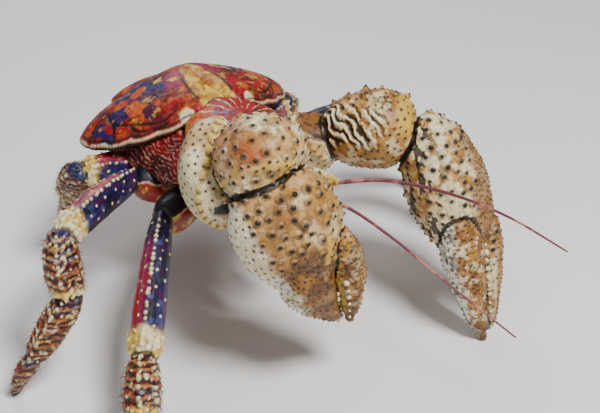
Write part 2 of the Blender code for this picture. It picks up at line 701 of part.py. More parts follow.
# Rows of knobs: first and last s, how many, phi in degrees, radius and height in millimetres
CLAW_KNOBS = {
    "left": {
        "merus": [(0.90, 0.92, 1, phi, 2.4, 2.6) for phi in range(20, 341, 32)],
        "carpus": [
            (0.40, 0.85, 3, -100, 3.6, 5.5), (0.42, 0.85, 3, -70, 3.0, 4.0),
            (0.48, 0.85, 3, -130, 2.8, 3.2), (0.50, 0.85, 2, -40, 2.6, 2.6),
            (0.40, 0.80, 3, -15, 1.5, 1.3, 4, 0, 3), (0.45, 0.80, 2, 12, 1.5, 1.3, 4, 0, 3),
        ],
        "palm": [
            (0.30, 0.70, 3, -95, 2.6, 2.4), (0.22, 0.72, 4, -65, 2.8, 2.6),
            (0.25, 0.85, 4, -35, 2.8, 2.6), (0.20, 0.85, 4, -5, 2.8, 2.6),
            (0.25, 0.85, 4, 28, 2.8, 2.8), (0.20, 0.85, 4, 60, 2.8, 3.0), (0.20, 0.85, 4, 95, 2.8, 3.0),
        ],
        "finger": [
            (0.25, 0.75, 3, 0, 2.2, 2.0), (0.25, 0.80, 4, -55, 2.2, 2.0), (0.30, 0.75, 3, -110, 2.2, 2.0),
        ],
    },
    "right": {
        "merus": [(0.88, 0.90, 1, phi, 2.6, 2.6) for phi in range(15, 346, 30)],
        "carpus": [
            (0.45, 0.85, 3, -95, 2.8, 3.0), (0.42, 0.85, 3, -65, 2.8, 3.0),
            (0.55, 0.85, 2, -130, 2.6, 2.8), (0.50, 0.85, 3, -35, 2.6, 2.8), (0.60, 0.85, 2, -5, 2.4, 2.4),
        ],
        "palm": [
            (0.28, 0.90, 5, 0, 3.2, 3.0), (0.22, 0.62, 4, 26, 3.2, 3.0), (0.22, 0.56, 3, 55, 3.2, 3.0),
            (0.28, 0.90, 5, -28, 3.0, 2.7), (0.30, 0.90, 4, -58, 2.8, 2.5), (0.25, 0.60, 3, 86, 3.0, 2.8),
        ],
        "finger": [(0.38, 0.78, 3, 5, 2.2, 2.0), (0.40, 0.82, 3, 60, 2.2, 2.0)],
    },
}
# Rows of teeth on the biting edges, written like the rows of knobs
TEETH = {
    "left": {
        "fixed": (0.50, 0.90, 5, 270, 3.4, 3.0, 3, 0, 1.2),
        "finger": (0.58, 0.88, 4, 90, 3.2, 2.6, 3, 0, 1.2),
    },
    "right": {"fixed": (0.50, 0.90, 4, 90, 3.0, 2.2, 3, 0, 1.2), "finger": (0.60, 0.86, 3, 350, 2.6, 1.8)},
}


def build_claws(build, material):
    for word, forms in CLAWS.items():
        shapes = {}
        for part, (start, end, widths, heights, side, bow) in forms.items():
            shapes[part] = Limb(mm(*start), mm(*end), widths, heights, Vector(side), bow, BLUNT)
        for part, detail in CLAW_DETAIL.items():
            build.node(f"claw_{word}_{part}", shapes[part], material, *detail)
        claw = f"claw_{word}_"
        fixed = form("fixed", shapes["fixed"], build.helpers, None, *FIXED_FINGER_DETAIL)
        boolean(bpy.data.objects[claw + "palm"], [fixed], "UNION")
        for part, lines in CLAW_KNOBS[word].items():
            build.arm(claw + part, [knob for line in lines for knob in row(*line)])
        build.arm(claw + "palm", row(*TEETH[word]["fixed"]), shapes["fixed"])
        build.arm(claw + "finger", row(*TEETH[word]["finger"]))
        build.clear_of(claw + "base", "thorax", claw + "merus")
        build.clear_of(claw + "merus", "thorax", "carapace_shield", f"antenna_{word}")
        build.clear_of(claw + "merus", claw + "carpus", claw + "palm")
        build.clear_of(claw + "carpus", claw + "palm")
        build.clear_of(claw + "palm", claw + "finger")
        trim(bpy.data.objects[claw + "finger"], FLOOR, -UP)


def main():
    clear_scene()
    crab = new_collection("coconut_crab")
    helpers = new_collection("helpers")
    shell = finish("shell", SHELL_COLOUR, 0.4)
    pale = finish("pale_shell", PALE_COLOUR, 0.5)
    claw = finish("claw_shell", CLAW_COLOUR, 0.45)
    leg = finish("leg_shell", LEG_COLOUR, 0.4)
    soft = finish("soft_skin", SOFT_COLOUR, 0.7)
    eye = finish("eye", EYE_COLOUR, 0.15)
    feeler = finish("feeler", FEELER_COLOUR, 0.5)
    build = Builder(crab, helpers)
    build_carapace(build, shell, pale, soft)
    build_abdomen(build, shell, soft)
    build_head(build, pale, soft, eye, feeler)
    build_claws(build, claw)
    build_legs(build, leg)
    for obj in crab.objects:
        obj.data.transform(Matrix.Translation(STANCE_SHIFT))


main()
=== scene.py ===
# %% [markdown]
# # A coconut crab, life size
#
# This lesson dresses a finished set of solids: a coconut crab that stands on its feet, made as a
# museum would make a model of it. The solids give every part its place and size. Here each part gets
# the surface that the real animal has: knobbed claws, a painted back, ridged and bristly legs.
#
# The plan is the same for most parts. A sphere is shaped into the part's form, remeshed into an even
# skin, and then worked like clay: vertices are pushed along their normals and painted where they lie.

# %% Load the solids as a fixed frame
import itertools
import math
import random

import bpy
import numpy as np
from mathutils.kdtree import KDTree
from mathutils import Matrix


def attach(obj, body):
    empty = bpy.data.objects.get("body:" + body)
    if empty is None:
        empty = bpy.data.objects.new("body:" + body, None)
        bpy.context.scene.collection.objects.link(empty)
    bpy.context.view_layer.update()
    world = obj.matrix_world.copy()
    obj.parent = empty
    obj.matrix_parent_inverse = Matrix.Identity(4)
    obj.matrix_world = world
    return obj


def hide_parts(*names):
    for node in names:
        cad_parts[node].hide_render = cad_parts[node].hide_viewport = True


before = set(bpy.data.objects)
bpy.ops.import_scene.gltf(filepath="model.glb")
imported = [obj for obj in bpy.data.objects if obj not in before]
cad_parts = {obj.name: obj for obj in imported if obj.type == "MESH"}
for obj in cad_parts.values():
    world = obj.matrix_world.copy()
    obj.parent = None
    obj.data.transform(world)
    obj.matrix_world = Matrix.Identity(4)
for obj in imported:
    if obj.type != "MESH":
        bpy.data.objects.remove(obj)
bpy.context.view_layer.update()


# %% [markdown]
# ## The crab's own frame
#
# Sizes read best in millimetres, from the middle of the crab's back: x to its left, y backwards and
# z up. The crab stands a little behind the origin of the shared frame, so one shift and one scale
# turn these places into Blender's metres. Arrays of vertices go in and out through two functions.

# %% Places in millimetres, and vertices as arrays
STANCE_SHIFT = np.array([-0.00455, 0.05662, 0.0])
UP = np.array([0.0, 0.0, 1.0])
LEFT, RIGHT = 1, -1


def in_metres(places):
    return np.asarray(places, float) / 1000 + STANCE_SHIFT


def in_millimetres(places):
    return (np.asarray(places, float) - STANCE_SHIFT) * 1000


def get_vertices(obj):
    flat = np.zeros(len(obj.data.vertices) * 3)
    obj.data.vertices.foreach_get("co", flat)
    return flat.reshape(-1, 3)


def set_vertices(obj, places):
    obj.data.vertices.foreach_set("co", np.asarray(places, float).ravel())
    obj.data.update()


def new_mesh(name, places, faces):
    mesh = bpy.data.meshes.new(name)
    mesh.from_pydata(in_metres(places).tolist(), [], faces)
    obj = bpy.data.objects.new(name, mesh)
    bpy.context.scene.collection.objects.link(obj)
    return obj


def unit(v):
    v = np.asarray(v, float)
    return v / np.linalg.norm(v)


# %% [markdown]
# ## Working with operators
#
# An operator works on whatever is selected. So each step first clears the selection and picks just
# the object that it works on. Modifiers are added, set and applied at once, so that the next step
# finds a plain mesh.

# %% Select one object, apply a modifier, join objects
def pick(*objects):
    if bpy.context.object and bpy.context.object.mode != "OBJECT":
        bpy.ops.object.mode_set(mode="OBJECT")
    bpy.ops.object.select_all(action="DESELECT")
    for obj in objects:
        obj.select_set(True)
    bpy.context.view_layer.objects.active = objects[0]


def modify(obj, kind, **settings):
    pick(obj)
    modifier = obj.modifiers.new(kind.lower(), kind)
    for key, value in settings.items():
        setattr(modifier, key, value)
    bpy.ops.object.modifier_apply(modifier=modifier.name)


def join(objects, name):
    pick(*objects)
    if len(objects) > 1:
        bpy.ops.object.join()
    objects[0].name = name
    objects[0].data.name = name
    return objects[0]


def face_outwards(obj):
    pick(obj)
    bpy.ops.object.mode_set(mode="EDIT")
    bpy.ops.mesh.select_all(action="SELECT")
    bpy.ops.mesh.normals_make_consistent(inside=False)
    bpy.ops.object.mode_set(mode="OBJECT")


# %% [markdown]
# ## Camera, floor and light
#
# The photograph looks down at the crab's right front quarter. The floor is plain and pale, and three
# large soft lights stand for a studio: a bright one above and in front, a weaker one from the other
# side and a third from behind, which draws the rim of the shell.

# %% Camera at the photograph's angle
AZIMUTH, ELEVATION = math.radians(-33), math.radians(33)
CAMERA_PLACE = np.array([-0.30291, -0.57501, 0.47534]) + STANCE_SHIFT
CAMERA_LENS = 62.1



def placed(side, up, behind, place):
    """The matrix of an object with these three axes, at a place, as Blender takes it."""
    matrix = np.eye(4)
    matrix[:3, :3] = np.column_stack([side, up, behind])
    matrix[:3, 3] = place
    return matrix.T.tolist()


# The way back to the camera, and its right and upper sides, which later steps use as directions
back = np.array([
    math.sin(AZIMUTH) * math.cos(ELEVATION), -math.cos(AZIMUTH) * math.cos(ELEVATION), math.sin(ELEVATION),
])
right = np.array([math.cos(AZIMUTH), math.sin(AZIMUTH), 0.0])
view_up = np.cross(back, right)
bpy.ops.object.camera_add()
camera = bpy.context.object
camera.name = "camera"
camera.matrix_world = placed(right, view_up, back, CAMERA_PLACE)
camera.data.lens = CAMERA_LENS
camera.data.sensor_width = 36
camera.data.clip_start = 0.01
bpy.context.scene.camera = camera
print("camera at", camera.location)


# %% Floor
def plain_material(name, colour, roughness):
    material = bpy.data.materials.new(name)
    material.use_nodes = True
    shader = material.node_tree.nodes["Principled BSDF"]
    shader.inputs["Base Color"].default_value = (*colour, 1)
    shader.inputs["Roughness"].default_value = roughness
    return material


bpy.ops.mesh.primitive_plane_add(size=12)
floor = bpy.context.object
floor.name = "floor"
floor.data.materials.append(plain_material("floor_paint", (0.80, 0.79, 0.77), 0.6))


# %% Three soft lights and a pale sky
LIT_PLACE = (0, 0, 0.08)  # the middle of the crab, at which every light is aimed


def area_light(name, place, size, power):
    bpy.ops.object.light_add(type="AREA", location=place)
    lamp = bpy.context.object
    lamp.name = name
    lamp.data.shape = "DISK"
    lamp.data.size = size
    lamp.data.energy = power
    aim = unit(np.array(LIT_PLACE) - np.array(place))
    side = unit(np.cross(aim, UP))
    lamp.matrix_world = placed(side, np.cross(side, aim), -aim, place)


area_light("key", (0.15, -0.75, 1.35), 0.45, 33)
area_light("fill", (-1.3, -0.5, 0.8), 1.2, 4)
area_light("rim", (0.3, 1.2, 1.0), 0.9, 8)
world = bpy.data.worlds.new("sky")
bpy.context.scene.world = world
world.use_nodes = True
sky = world.node_tree.nodes["Background"]
sky.inputs["Color"].default_value = (0.93, 0.95, 1.0, 1)
sky.inputs["Strength"].default_value = 0.20

# %% [markdown]
# ## Forms
#
# Every part of a crab is one of a few forms. A limb's length is a rounded tube that swells and
# narrows. A plate of the back is a dome over an outline. Each form is a function from two numbers,
# t from end to end and phi round, to a place. The way back, from a place to how far along it lies
# and at which angle, lets later steps say "a ridge at this angle" on any mesh of that form.


# %% Smooth profiles and the limb form
def profile(values, s):
    """A smooth value at s, from 0 to 1, between evenly spaced values."""
    values = np.asarray(values, float)
    place = np.clip(s, 0, 1) * (len(values) - 1)
    i = np.minimum(place.astype(int), len(values) - 2)
    share = place - i
    share = share * share * (3 - 2 * share)
    return values[i] * (1 - share) + values[i + 1] * share


class Limb:
    """A rounded length from start to end. Half widths lie along side, half heights across it."""

    def __init__(self, start, end, widths, heights, side=None, bow=0.0, blunt=0.5):
        self.start = np.array(start, float)
        step = np.array(end, float) - self.start
        self.length = np.linalg.norm(step)
        self.along = step / self.length
        side = np.cross(self.along, UP) if side is None else np.array(side, float)
        self.across = unit(side - self.along * (side @ self.along))
        self.over = np.cross(self.across, self.along)
        self.widths, self.heights, self.bow, self.blunt = widths, heights, bow, blunt

    def points(self, t, phi, grow=0.0):
        turn = -np.cos(np.pi * t)
        s = 0.5 + 0.5 * turn
        ends = np.maximum(np.sin(np.pi * t), 0) ** self.blunt
        middle = self.start + np.outer(s * self.length + grow * turn, self.along)
        middle += np.outer(self.bow * 4 * s * (1 - s), self.over)
        half_width = (profile(self.widths, s) + grow) * ends * np.cos(phi)
        half_height = (profile(self.heights, s) + grow) * ends * np.sin(phi)
        return middle + np.outer(half_width, self.across) + np.outer(half_height, self.over)

    def where(self, places):
        """How far along each place lies, from 0 to 1, and its angle round the length."""
        away = places - self.start
        s = np.clip(away @ self.along / self.length, 0, 1)
        away = away - np.outer(self.bow * 4 * s * (1 - s), self.over)
        high, wide = away @ self.over / profile(self.heights, s), away @ self.across / profile(self.widths, s)
        return s, np.arctan2(high, wide)

    def facing(self, direction):
        """The angle round the length, in degrees, of the side that looks in a direction."""
        return math.degrees(math.atan2(direction @ self.over, direction @ self.across))


# %% The dome form, for the plates of the back
class Dome:
    """A crowned plate over a closed plan outline, whose edge lies at edge_height(x, y)."""

    def __init__(self, centre, outline, edge_height, crown, keel, swell=0.75):
        self.centre, self.edge_height = np.array(centre, float), edge_height
        self.crown, self.keel, self.swell = crown, keel, swell
        x, y = (np.array(outline, float) - self.centre).T
        angle, far = np.arctan2(y, x) % math.tau, np.hypot(x, y)
        order = np.argsort(angle)
        angle, far = angle[order], far[order]
        self.angles = np.concatenate([[angle[-1] - math.tau], angle, [angle[0] + math.tau]])
        self.reaches = np.concatenate([[far[-1]], far, [far[0]]])

    def reach(self, phi):
        """How far the outline lies from the centre in the direction phi."""
        phi = np.asarray(phi, float) % math.tau
        i = np.clip(np.searchsorted(self.angles, phi, side="right") - 1, 0, len(self.angles) - 2)
        share = (phi - self.angles[i]) / np.maximum(self.angles[i + 1] - self.angles[i], 1e-9)
        share = 0.5 * share + 0.5 * share * share * (3 - 2 * share)
        return self.reaches[i] * (1 - share) + self.reaches[i + 1] * share

    def points(self, t, phi, grow=0.0):
        rise = -np.cos(np.pi * t)
        reach = (self.reach(phi) + grow) * np.maximum(np.sin(np.pi * t), 0) ** self.swell
        x, y = self.centre[0] + reach * np.cos(phi), self.centre[1] + reach * np.sin(phi)
        lift = rise * (np.where(rise > 0, self.crown, self.keel) + grow)
        return np.column_stack([x, y, self.edge_height(x, y) + lift])

    def where(self, places):
        """The share of the way from the centre to the rim, and the direction in plan."""
        x, y = places[:, 0] - self.centre[0], places[:, 1] - self.centre[1]
        phi = np.arctan2(y, x)
        return np.hypot(x, y) / self.reach(phi), phi


# %% [markdown]
# ## From form to skin
#
# A UV sphere has its vertices crowded at the poles, so it is only the start. Its vertices are moved
# onto the form, and several such forms can be joined. A voxel remesh then gives one closed skin of
# even squares with soft joins between the forms, which takes detail equally well everywhere.


# %% Sphere to form, forms to skin
def form(name, shape):
    pick(floor)
    bpy.ops.mesh.primitive_uv_sphere_add(segments=48, ring_count=32, radius=1)
    obj = bpy.context.object
    obj.name = name
    x, y, z = get_vertices(obj).T
    t = 1 - np.arccos(np.clip(z, -1, 1)) / np.pi
    set_vertices(obj, in_metres(shape.points(t, np.arctan2(y, x))))
    face_outwards(obj)
    return obj


def even_skin(name, shapes, voxel, soften=2, blend=0.0):
    """One closed skin of even squares, voxel millimetres wide, over all the shapes.

    A blend first remeshes them coarsely and smooths that, which rounds the joins between them.
    """
    obj = join([form(name, shape) for shape in shapes], name)
    if blend:
        modify(obj, "REMESH", mode="VOXEL", voxel_size=blend / 1000)
        modify(obj, "SMOOTH", factor=0.5, iterations=4)
        modify(obj, "SUBSURF", levels=2)
    modify(obj, "REMESH", mode="VOXEL", voxel_size=voxel / 1000)
    modify(obj, "SMOOTH", factor=0.5, iterations=soften)
    return obj


# %% [markdown]
# ## Noise, masks and colours
#
# A mask is one number from 0 to 1 for each vertex. Masks say where a colour or a ridge lies. They
# come from three simple kinds: noise, bands and round spots. Noise also bends the edges of the other
# two, because nothing on an animal has a ruled edge. Colours are named and given as on a screen.


# %% Noise, bands and spots
def cloud(places, size, seed=0):
    """Smooth noise from 0 to 1, in blobs about size millimetres across."""
    spot = places / size + seed * 19.19
    cell = np.floor(spot)
    part = spot - cell
    part = part * part * (3 - 2 * part)
    total = np.zeros(len(places))
    for corner in itertools.product((0, 1), repeat=3):
        x, y, z = (cell + corner).T
        value = np.sin(x * 127.1 + y * 311.7 + z * 74.7) * 43758.5453
        share = np.prod(np.where(corner, part, 1 - part), axis=1)
        total += (value - np.floor(value)) * share
    return total


def marbled(places, size, seed=0):
    """Noise of three sizes together."""
    return (
        0.55 * cloud(places, size, seed) + 0.3 * cloud(places, size / 2.3, seed + 1)
        + 0.15 * cloud(places, size / 5, seed + 2)
    )


def smooth(low, high, value):
    """0 below low, 1 above high, and a smooth way between."""
    share = np.clip((value - low) / (high - low), 0, 1)
    return share * share * (3 - 2 * share)


def ridge(value, middle, half_width):
    """A bell of height 1 at the middle, which fades out at about half_width."""
    return np.exp(-(((value - middle) / half_width) ** 2) * 2)


def turn_between(phi, degrees):
    """The angle from degrees to phi, from -pi to pi."""
    return (phi - math.radians(degrees) + np.pi) % math.tau - np.pi


# %% Colours
FILM_DEPTH = 1.28
# Painted shade in grooves and a painted highlight on ridges: these factors darken and pale a colour
GROOVE_SHADE_TONE, RIDGE_HIGHLIGHT_TONE = 0.16, 1.5  # what a colour is multiplied by in a groove and on a ridge


def colour(red, green, blue):
    """A colour as on a screen, from 0 to 255, as linear light, a little deeper.

    The extra depth makes up for the render's soft film, which pales what it shows.
    """
    share = np.array([red, green, blue]) / 255
    light = np.where(share <= 0.04045, share / 12.92, ((share + 0.055) / 1.055) ** 2.4)
    return 0.9 * light**FILM_DEPTH


CREAM = colour(238, 224, 186)
IVORY = colour(248, 242, 222)
OCHRE = colour(188, 144, 74)
TAN = colour(204, 168, 112)
AMBER = colour(152, 104, 44)
RUST = colour(150, 66, 34)
ORANGE = colour(202, 102, 38)
YELLOW = colour(218, 186, 92)
BROWN = colour(94, 62, 32)
UMBER = colour(36, 24, 18)
CRIMSON = colour(166, 24, 38)
WINE = colour(98, 20, 34)
MAGENTA = colour(156, 32, 82)
PINK = colour(212, 152, 128)
VIOLET = colour(84, 30, 76)
INDIGO = colour(52, 42, 104)
NAVY = colour(34, 38, 62)
SLATE = colour(96, 110, 156)


# %% [markdown]
# Some marks follow a line: a seam, a rope-like rim, a groove. Such a line is given by a few places on
# the skin. A smooth curve runs through them, and the mask is a band about it. A second kind follows
# the place where one part meets its neighbour: a sunken crease, darkened with painted shade.


# %% Smooth lines, and how far places are from them
def smooth_line(knots, steps=12):
    """Evenly spread places on a smooth line through the knots."""
    knots = np.array(knots, float)
    padded = np.vstack([2 * knots[0] - knots[1], knots, 2 * knots[-1] - knots[-2]])
    line = []
    for a, b, c, d in zip(padded, padded[1:], padded[2:], padded[3:]):
        u = np.linspace(0, 1, steps, endpoint=False)[:, None]
        curve = (2 * a - 5 * b + 4 * c - d) * u**2 + (3 * b - a - 3 * c + d) * u**3
        line.append(0.5 * (2 * b + (c - a) * u + curve))
    return np.vstack([*line, knots[-1]])


def distance_to_line(places, knots):
    """How far each place is from the smooth line through the knots, and the line's nearest place."""
    line = smooth_line(knots)
    far, nearest = np.full(len(places), np.inf), np.zeros(len(places), int)
    for i, mark in enumerate(line):
        away = np.sum((places - mark) ** 2, axis=1)
        nearest = np.where(away < far, i, nearest)
        far = np.minimum(far, away)
    return np.sqrt(far), nearest, line[nearest]


def finder(places):
    tree = KDTree(len(places))
    for i, place in enumerate(places):
        tree.insert(place, i)
    tree.balance()
    return tree


def distance_to_form(places, shape):
    """How far each place is from the surface of a form."""
    t, phi = np.meshgrid(np.linspace(0.03, 0.97, 110), np.linspace(0, math.tau, 150, endpoint=False))
    tree = finder(shape.points(t.ravel(), phi.ravel()))
    return np.array([tree.find(place)[2] for place in places])


# %% [markdown]
# ## A skin to work on
#
# This small class holds one part while it is worked: its vertices and normals as arrays, its place on
# the form, and its paint. Pushing moves vertices along their normals. Painting mixes a colour in
# where a mask says so. When the part is done, all of it is written back to the mesh: the paint as a
# colour attribute, and a mask for the tips of knobs. The materials read both.


# %% The skin that is pushed and painted
class Skin:
    def __init__(self, obj, shape):
        self.obj, self.shape = obj, shape
        self.places = in_millimetres(get_vertices(obj))
        self.s, self.phi = shape.where(self.places)
        self.tint = np.tile(CREAM, (len(self.places), 1))
        self.tips = np.zeros(len(self.places))
        self.read_normals()

    def read_normals(self):
        flat = np.zeros(len(self.places) * 3)
        self.obj.data.vertices.foreach_get("normal", flat)
        self.normals = flat.reshape(-1, 3)

    def push(self, amount):
        """Moves the skin outwards by amount, in millimetres."""
        self.places = self.places + self.normals * np.asarray(amount)[..., None]

    def settle(self):
        """Writes the moved vertices back and reads the new normals."""
        set_vertices(self.obj, in_metres(self.places))
        self.read_normals()

    def paint(self, tint, mask=1.0):
        mask = np.clip(np.broadcast_to(mask, len(self.places)), 0, 1)[:, None]
        self.tint = self.tint * (1 - mask) + np.asarray(tint) * mask

    def blotch(self, tint, share, low, high, size, seed, where=1.0):
        """Paints patches about size millimetres across, where the noise passes from low to high."""
        self.paint(tint, share * smooth(low, high, marbled(self.places, size, seed)) * where)

    def roughen(self, depth, size, seed):
        """Pushes the skin in and out by up to half the depth, in waves about size millimetres wide."""
        self.push(depth * (marbled(self.places, size, seed) - 0.5))

    def near(self, place, radius, ragged=0.35, seed=0):
        """A round spot about a place, with a ragged edge."""
        away = np.linalg.norm(self.places - np.array(place), axis=1) / radius
        away = away + ragged * 2 * (marbled(self.places, radius * 0.7, seed) - 0.5)
        return smooth(1.12, 0.82, away)

    def band(self, knots, half_width):
        """A band along the line through the knots."""
        return ridge(distance_to_line(self.places, knots)[0], 0, half_width)

    def shaded_crease(self, neighbour, width=2.2, depth=0.5, share=0.95):
        """Sinks the skin along the line where it meets a neighbour's form, and paints shade there."""
        far = distance_to_form(self.places, neighbour) + 1.2 * (marbled(self.places, 5, 9) - 0.5)
        line = smooth(width, width * 0.45, far)
        self.push(-depth * line)
        # Painted shade along the join with the neighbour
        self.paint(UMBER, share * line)

    def hollows(self):
        """How hollow the skin is at each vertex: above 0 in a groove, below 0 on a ridge."""
        self.settle()
        count = len(self.places)
        ends = np.zeros(2 * len(self.obj.data.edges), np.int32)
        self.obj.data.edges.foreach_get("vertices", ends)
        a, b = ends.reshape(-1, 2).T
        step = self.places[b] - self.places[a]
        rise = np.bincount(a, np.sum(step * self.normals[a], axis=1), count)
        rise -= np.bincount(b, np.sum(step * self.normals[b], axis=1), count)
        links = np.maximum(np.bincount(a, minlength=count) + np.bincount(b, minlength=count), 1)
        hollow = rise / links / np.mean(np.sum(step**2, axis=1))
        for _ in range(2):
            around = np.bincount(a, hollow[b], count) + np.bincount(b, hollow[a], count)
            hollow = 0.5 * hollow + 0.5 * around / links
        return hollow

    def finish(self, material, *nodes, shade=0.75):
        """Writes the skin, gives it its material and lets it stand for the solids.

        First painted shade darkens its grooves and a painted highlight pales its ridges.
        """
        hollow = self.hollows()
        # Painted shade in the grooves, then a painted highlight on the ridges
        self.paint(self.tint * GROOVE_SHADE_TONE, shade * smooth(0.015, 0.12, hollow))
        self.paint(np.minimum(self.tint * RIDGE_HIGHLIGHT_TONE + 0.02, 0.9), 0.5 * smooth(0.03, 0.2, -hollow))
        mesh = self.obj.data
        paint = mesh.color_attributes.new(name="paint", type="FLOAT_COLOR", domain="POINT")
        paint.data.foreach_set("color", np.column_stack([self.tint, np.ones(len(self.tint))]).ravel())
        mesh.attributes.new(name="tip", type="FLOAT", domain="POINT").data.foreach_set("value", self.tips)
        mesh.materials.clear()
        mesh.materials.append(material)
        pick(self.obj)
        bpy.ops.object.shade_smooth()
        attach(self.obj, "root")
        if nodes:
            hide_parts(*nodes)
        print(self.obj.name, len(mesh.polygons), "faces")
        return self.obj


def skin_of(name, shape, voxel, soften=2):
    """The skin of one form, ready to be worked."""
    return Skin(even_skin(name, [shape], voxel, soften), shape)


# %% [markdown]
# ## Knobs
#
# A coconut crab's claws are studded with knobs: low cones that lean towards the fingers, each with a
# dark horny tip. Their spacing is even but not regular. So candidate places are drawn at random, and
# one is kept only where no kept one is too near. Then the skin round each is raised into a cone.


# %% Scatter places, and raise a knob at each
KNOB_LEAN = 0.35  # how far a knob's tip leans forward, as a share of its height


def scatter(skin, spacing, allowed=None, seed=1, tries=6000):
    """Vertices of the skin at least spacing apart, where allowed is not below a half."""
    draw = random.Random(seed)
    kept, taken = [], []
    for _ in range(tries):
        i = draw.randrange(len(skin.places))
        if allowed is not None and allowed[i] < 0.5:
            continue
        if taken and np.min(np.sum((np.array(taken) - skin.places[i]) ** 2, axis=1)) < spacing**2:
            continue
        kept.append(i)
        taken.append(skin.places[i])
    return kept


def raise_knobs(skin, spots, radius, height, tip, seed=2):
    """Raises a leaning cone at each spot. Its tip, a share of its radius, is coloured apart."""
    skin.settle()
    draw = random.Random(seed)
    tree = finder(skin.places)
    before, ahead = skin.places.copy(), skin.shape.along
    for i in spots:
        size = radius * draw.uniform(0.8, 1.2)
        high = height * draw.uniform(0.75, 1.25)
        normal = skin.normals[i]
        forward = unit(ahead - normal * (ahead @ normal))
        found = [j for _, j, _ in tree.find_range(before[i], size * 1.6)]
        away = before[found] - before[i]
        share = np.linalg.norm(away, axis=1) / size
        cone = np.clip(1 - share, 0, 1) ** 1.15 * 0.55 + np.clip(1 - share**2, 0, 1) ** 2 * 0.45
        skin.places[found] += np.outer(cone * high, normal + forward * KNOB_LEAN)
        spot = np.linalg.norm(away - forward * size * 0.12, axis=1) / size
        skin.tips[found] = np.maximum(skin.tips[found], smooth(tip + 0.22, tip - 0.12, spot))
    print("  ", len(spots), "knobs")


def stud(skin, spacing, radius, height, tip, seed, allowed=None):
    """Knobs of one kind, scattered where they are allowed."""
    raise_knobs(skin, scatter(skin, spacing, allowed, seed), radius, height, tip)


# %% [markdown]
# ## Teeth and bristles
#
# Small parts that repeat are modelled once. Copies of that one model are turned, sized and placed,
# and all of them together make one mesh.


# %% Stamp copies of a small model
class Whole:
    """A form with no coordinates of its own."""

    def where(self, places):
        return np.zeros(len(places)), np.zeros(len(places))


def stamp(name, model, spots, tint, material):
    """Copies of the model, one for each (place, direction, width, length); its z axis turns that way."""
    corners = get_vertices(model)
    faces = [tuple(face.vertices) for face in model.data.polygons]
    places, all_faces = [], []
    for i, (place, ahead, width, length) in enumerate(spots):
        ahead = unit(ahead)
        side = unit(np.cross(ahead, [0.3, 0.5, 0.8]))
        turned = np.column_stack([side * width, np.cross(ahead, side) * width, ahead * length])
        places.append(corners @ turned.T + place)
        all_faces += [tuple(corner + i * len(corners) for corner in face) for face in faces]
    skin = Skin(new_mesh(name, np.vstack(places), all_faces), Whole())
    skin.paint(tint)
    return skin.finish(material, shade=0.0)


pick(floor)
bpy.ops.mesh.primitive_uv_sphere_add(segments=10, ring_count=6, radius=1)
tooth_model = bpy.context.object
tooth_model.name = "tooth_model"
pick(floor)
bpy.ops.mesh.primitive_cone_add(vertices=4, radius1=1, radius2=0.1, depth=1, location=(0, 0, 0.5))
bristle_model = bpy.context.object
bristle_model.name = "bristle_model"
bpy.ops.object.transform_apply(location=True)

# %% [markdown]
# ## Shell material
#
# Crab shell is hard, a little glossy and never one colour. The paint on the vertices gives the large
# pattern. Two node groups add what is finer than the vertices: a grain that varies colour, gloss and
# height, and a layer of small dark pits. The same groups serve every shell material, each with its
# own sizes.


# %% Node groups for grain and pits
def new_group(name, inputs, outputs):
    group = bpy.data.node_groups.new(name, "ShaderNodeTree")
    for socket, value in inputs.items():
        made = group.interface.new_socket(name=socket, in_out="INPUT", socket_type="NodeSocketFloat")
        made.default_value = value
    for socket in outputs:
        group.interface.new_socket(name=socket, in_out="OUTPUT", socket_type="NodeSocketFloat")
    return group, group.nodes.new("NodeGroupInput"), group.nodes.new("NodeGroupOutput")


def feed(tree, node, inputs):
    """Sets each input of a node to a number or a colour, or links it to the output that feeds it."""
    for socket, value in inputs.items():
        if isinstance(value, bpy.types.NodeSocket):
            tree.links.new(value, node.inputs[socket])
        elif isinstance(value, (int, float)):
            node.inputs[socket].default_value = value
        else:
            node.inputs[socket].default_value = (*value, 1)


def add(tree, kind, inputs=None, **settings):
    node = tree.nodes.new(kind)
    for key, value in settings.items():
        setattr(node, key, value)
    feed(tree, node, inputs or {})
    return node


def make_grain_group():
    group, given, out = new_group("shell_grain", {"Size": 400.0}, ["Grain", "Cloud"])
    where = add(group, "ShaderNodeTexCoord").outputs["Object"]
    fine = add(group, "ShaderNodeTexNoise", {
        "Detail": 6, "Roughness": 0.62, "Scale": given.outputs["Size"], "Vector": where,
    })
    wide = add(group, "ShaderNodeTexNoise", {"Scale": 60, "Detail": 3, "Vector": where})
    feed(group, out, {"Grain": fine.outputs["Fac"], "Cloud": wide.outputs["Fac"]})
    return group


def make_pit_group():
    group, given, out = new_group("shell_pits", {"Size": 500.0, "Reach": 0.25}, ["Pits"])
    where = add(group, "ShaderNodeTexCoord").outputs["Object"]
    size, reach = given.outputs["Size"], given.outputs["Reach"]
    cells = add(group, "ShaderNodeTexVoronoi", {"Vector": where, "Scale": size}, feature="F1")
    mask = add(group, "ShaderNodeMapRange", {
        "Value": cells.outputs["Distance"], "From Min": 0.0, "From Max": reach, "To Min": 1.0, "To Max": 0.0,
    }, interpolation_type="SMOOTHSTEP")
    feed(group, out, {"Pits": mask.outputs["Result"]})
    return group


grain_group, pit_group = make_grain_group(), make_pit_group()


# %% The shell material
def mix_colour(tree, share, first, second, blend="MIX"):
    inputs = {0: share, 6: first, 7: second}  # a colour mix has its factor and colours at these places
    return add(tree, "ShaderNodeMix", inputs, data_type="RGBA", blend_type=blend).outputs[2]


def scaled(tree, value, low, high):
    """The value, from 0 to 1, spread over low to high."""
    return add(tree, "ShaderNodeMapRange", {"Value": value, "To Min": low, "To Max": high}).outputs["Result"]


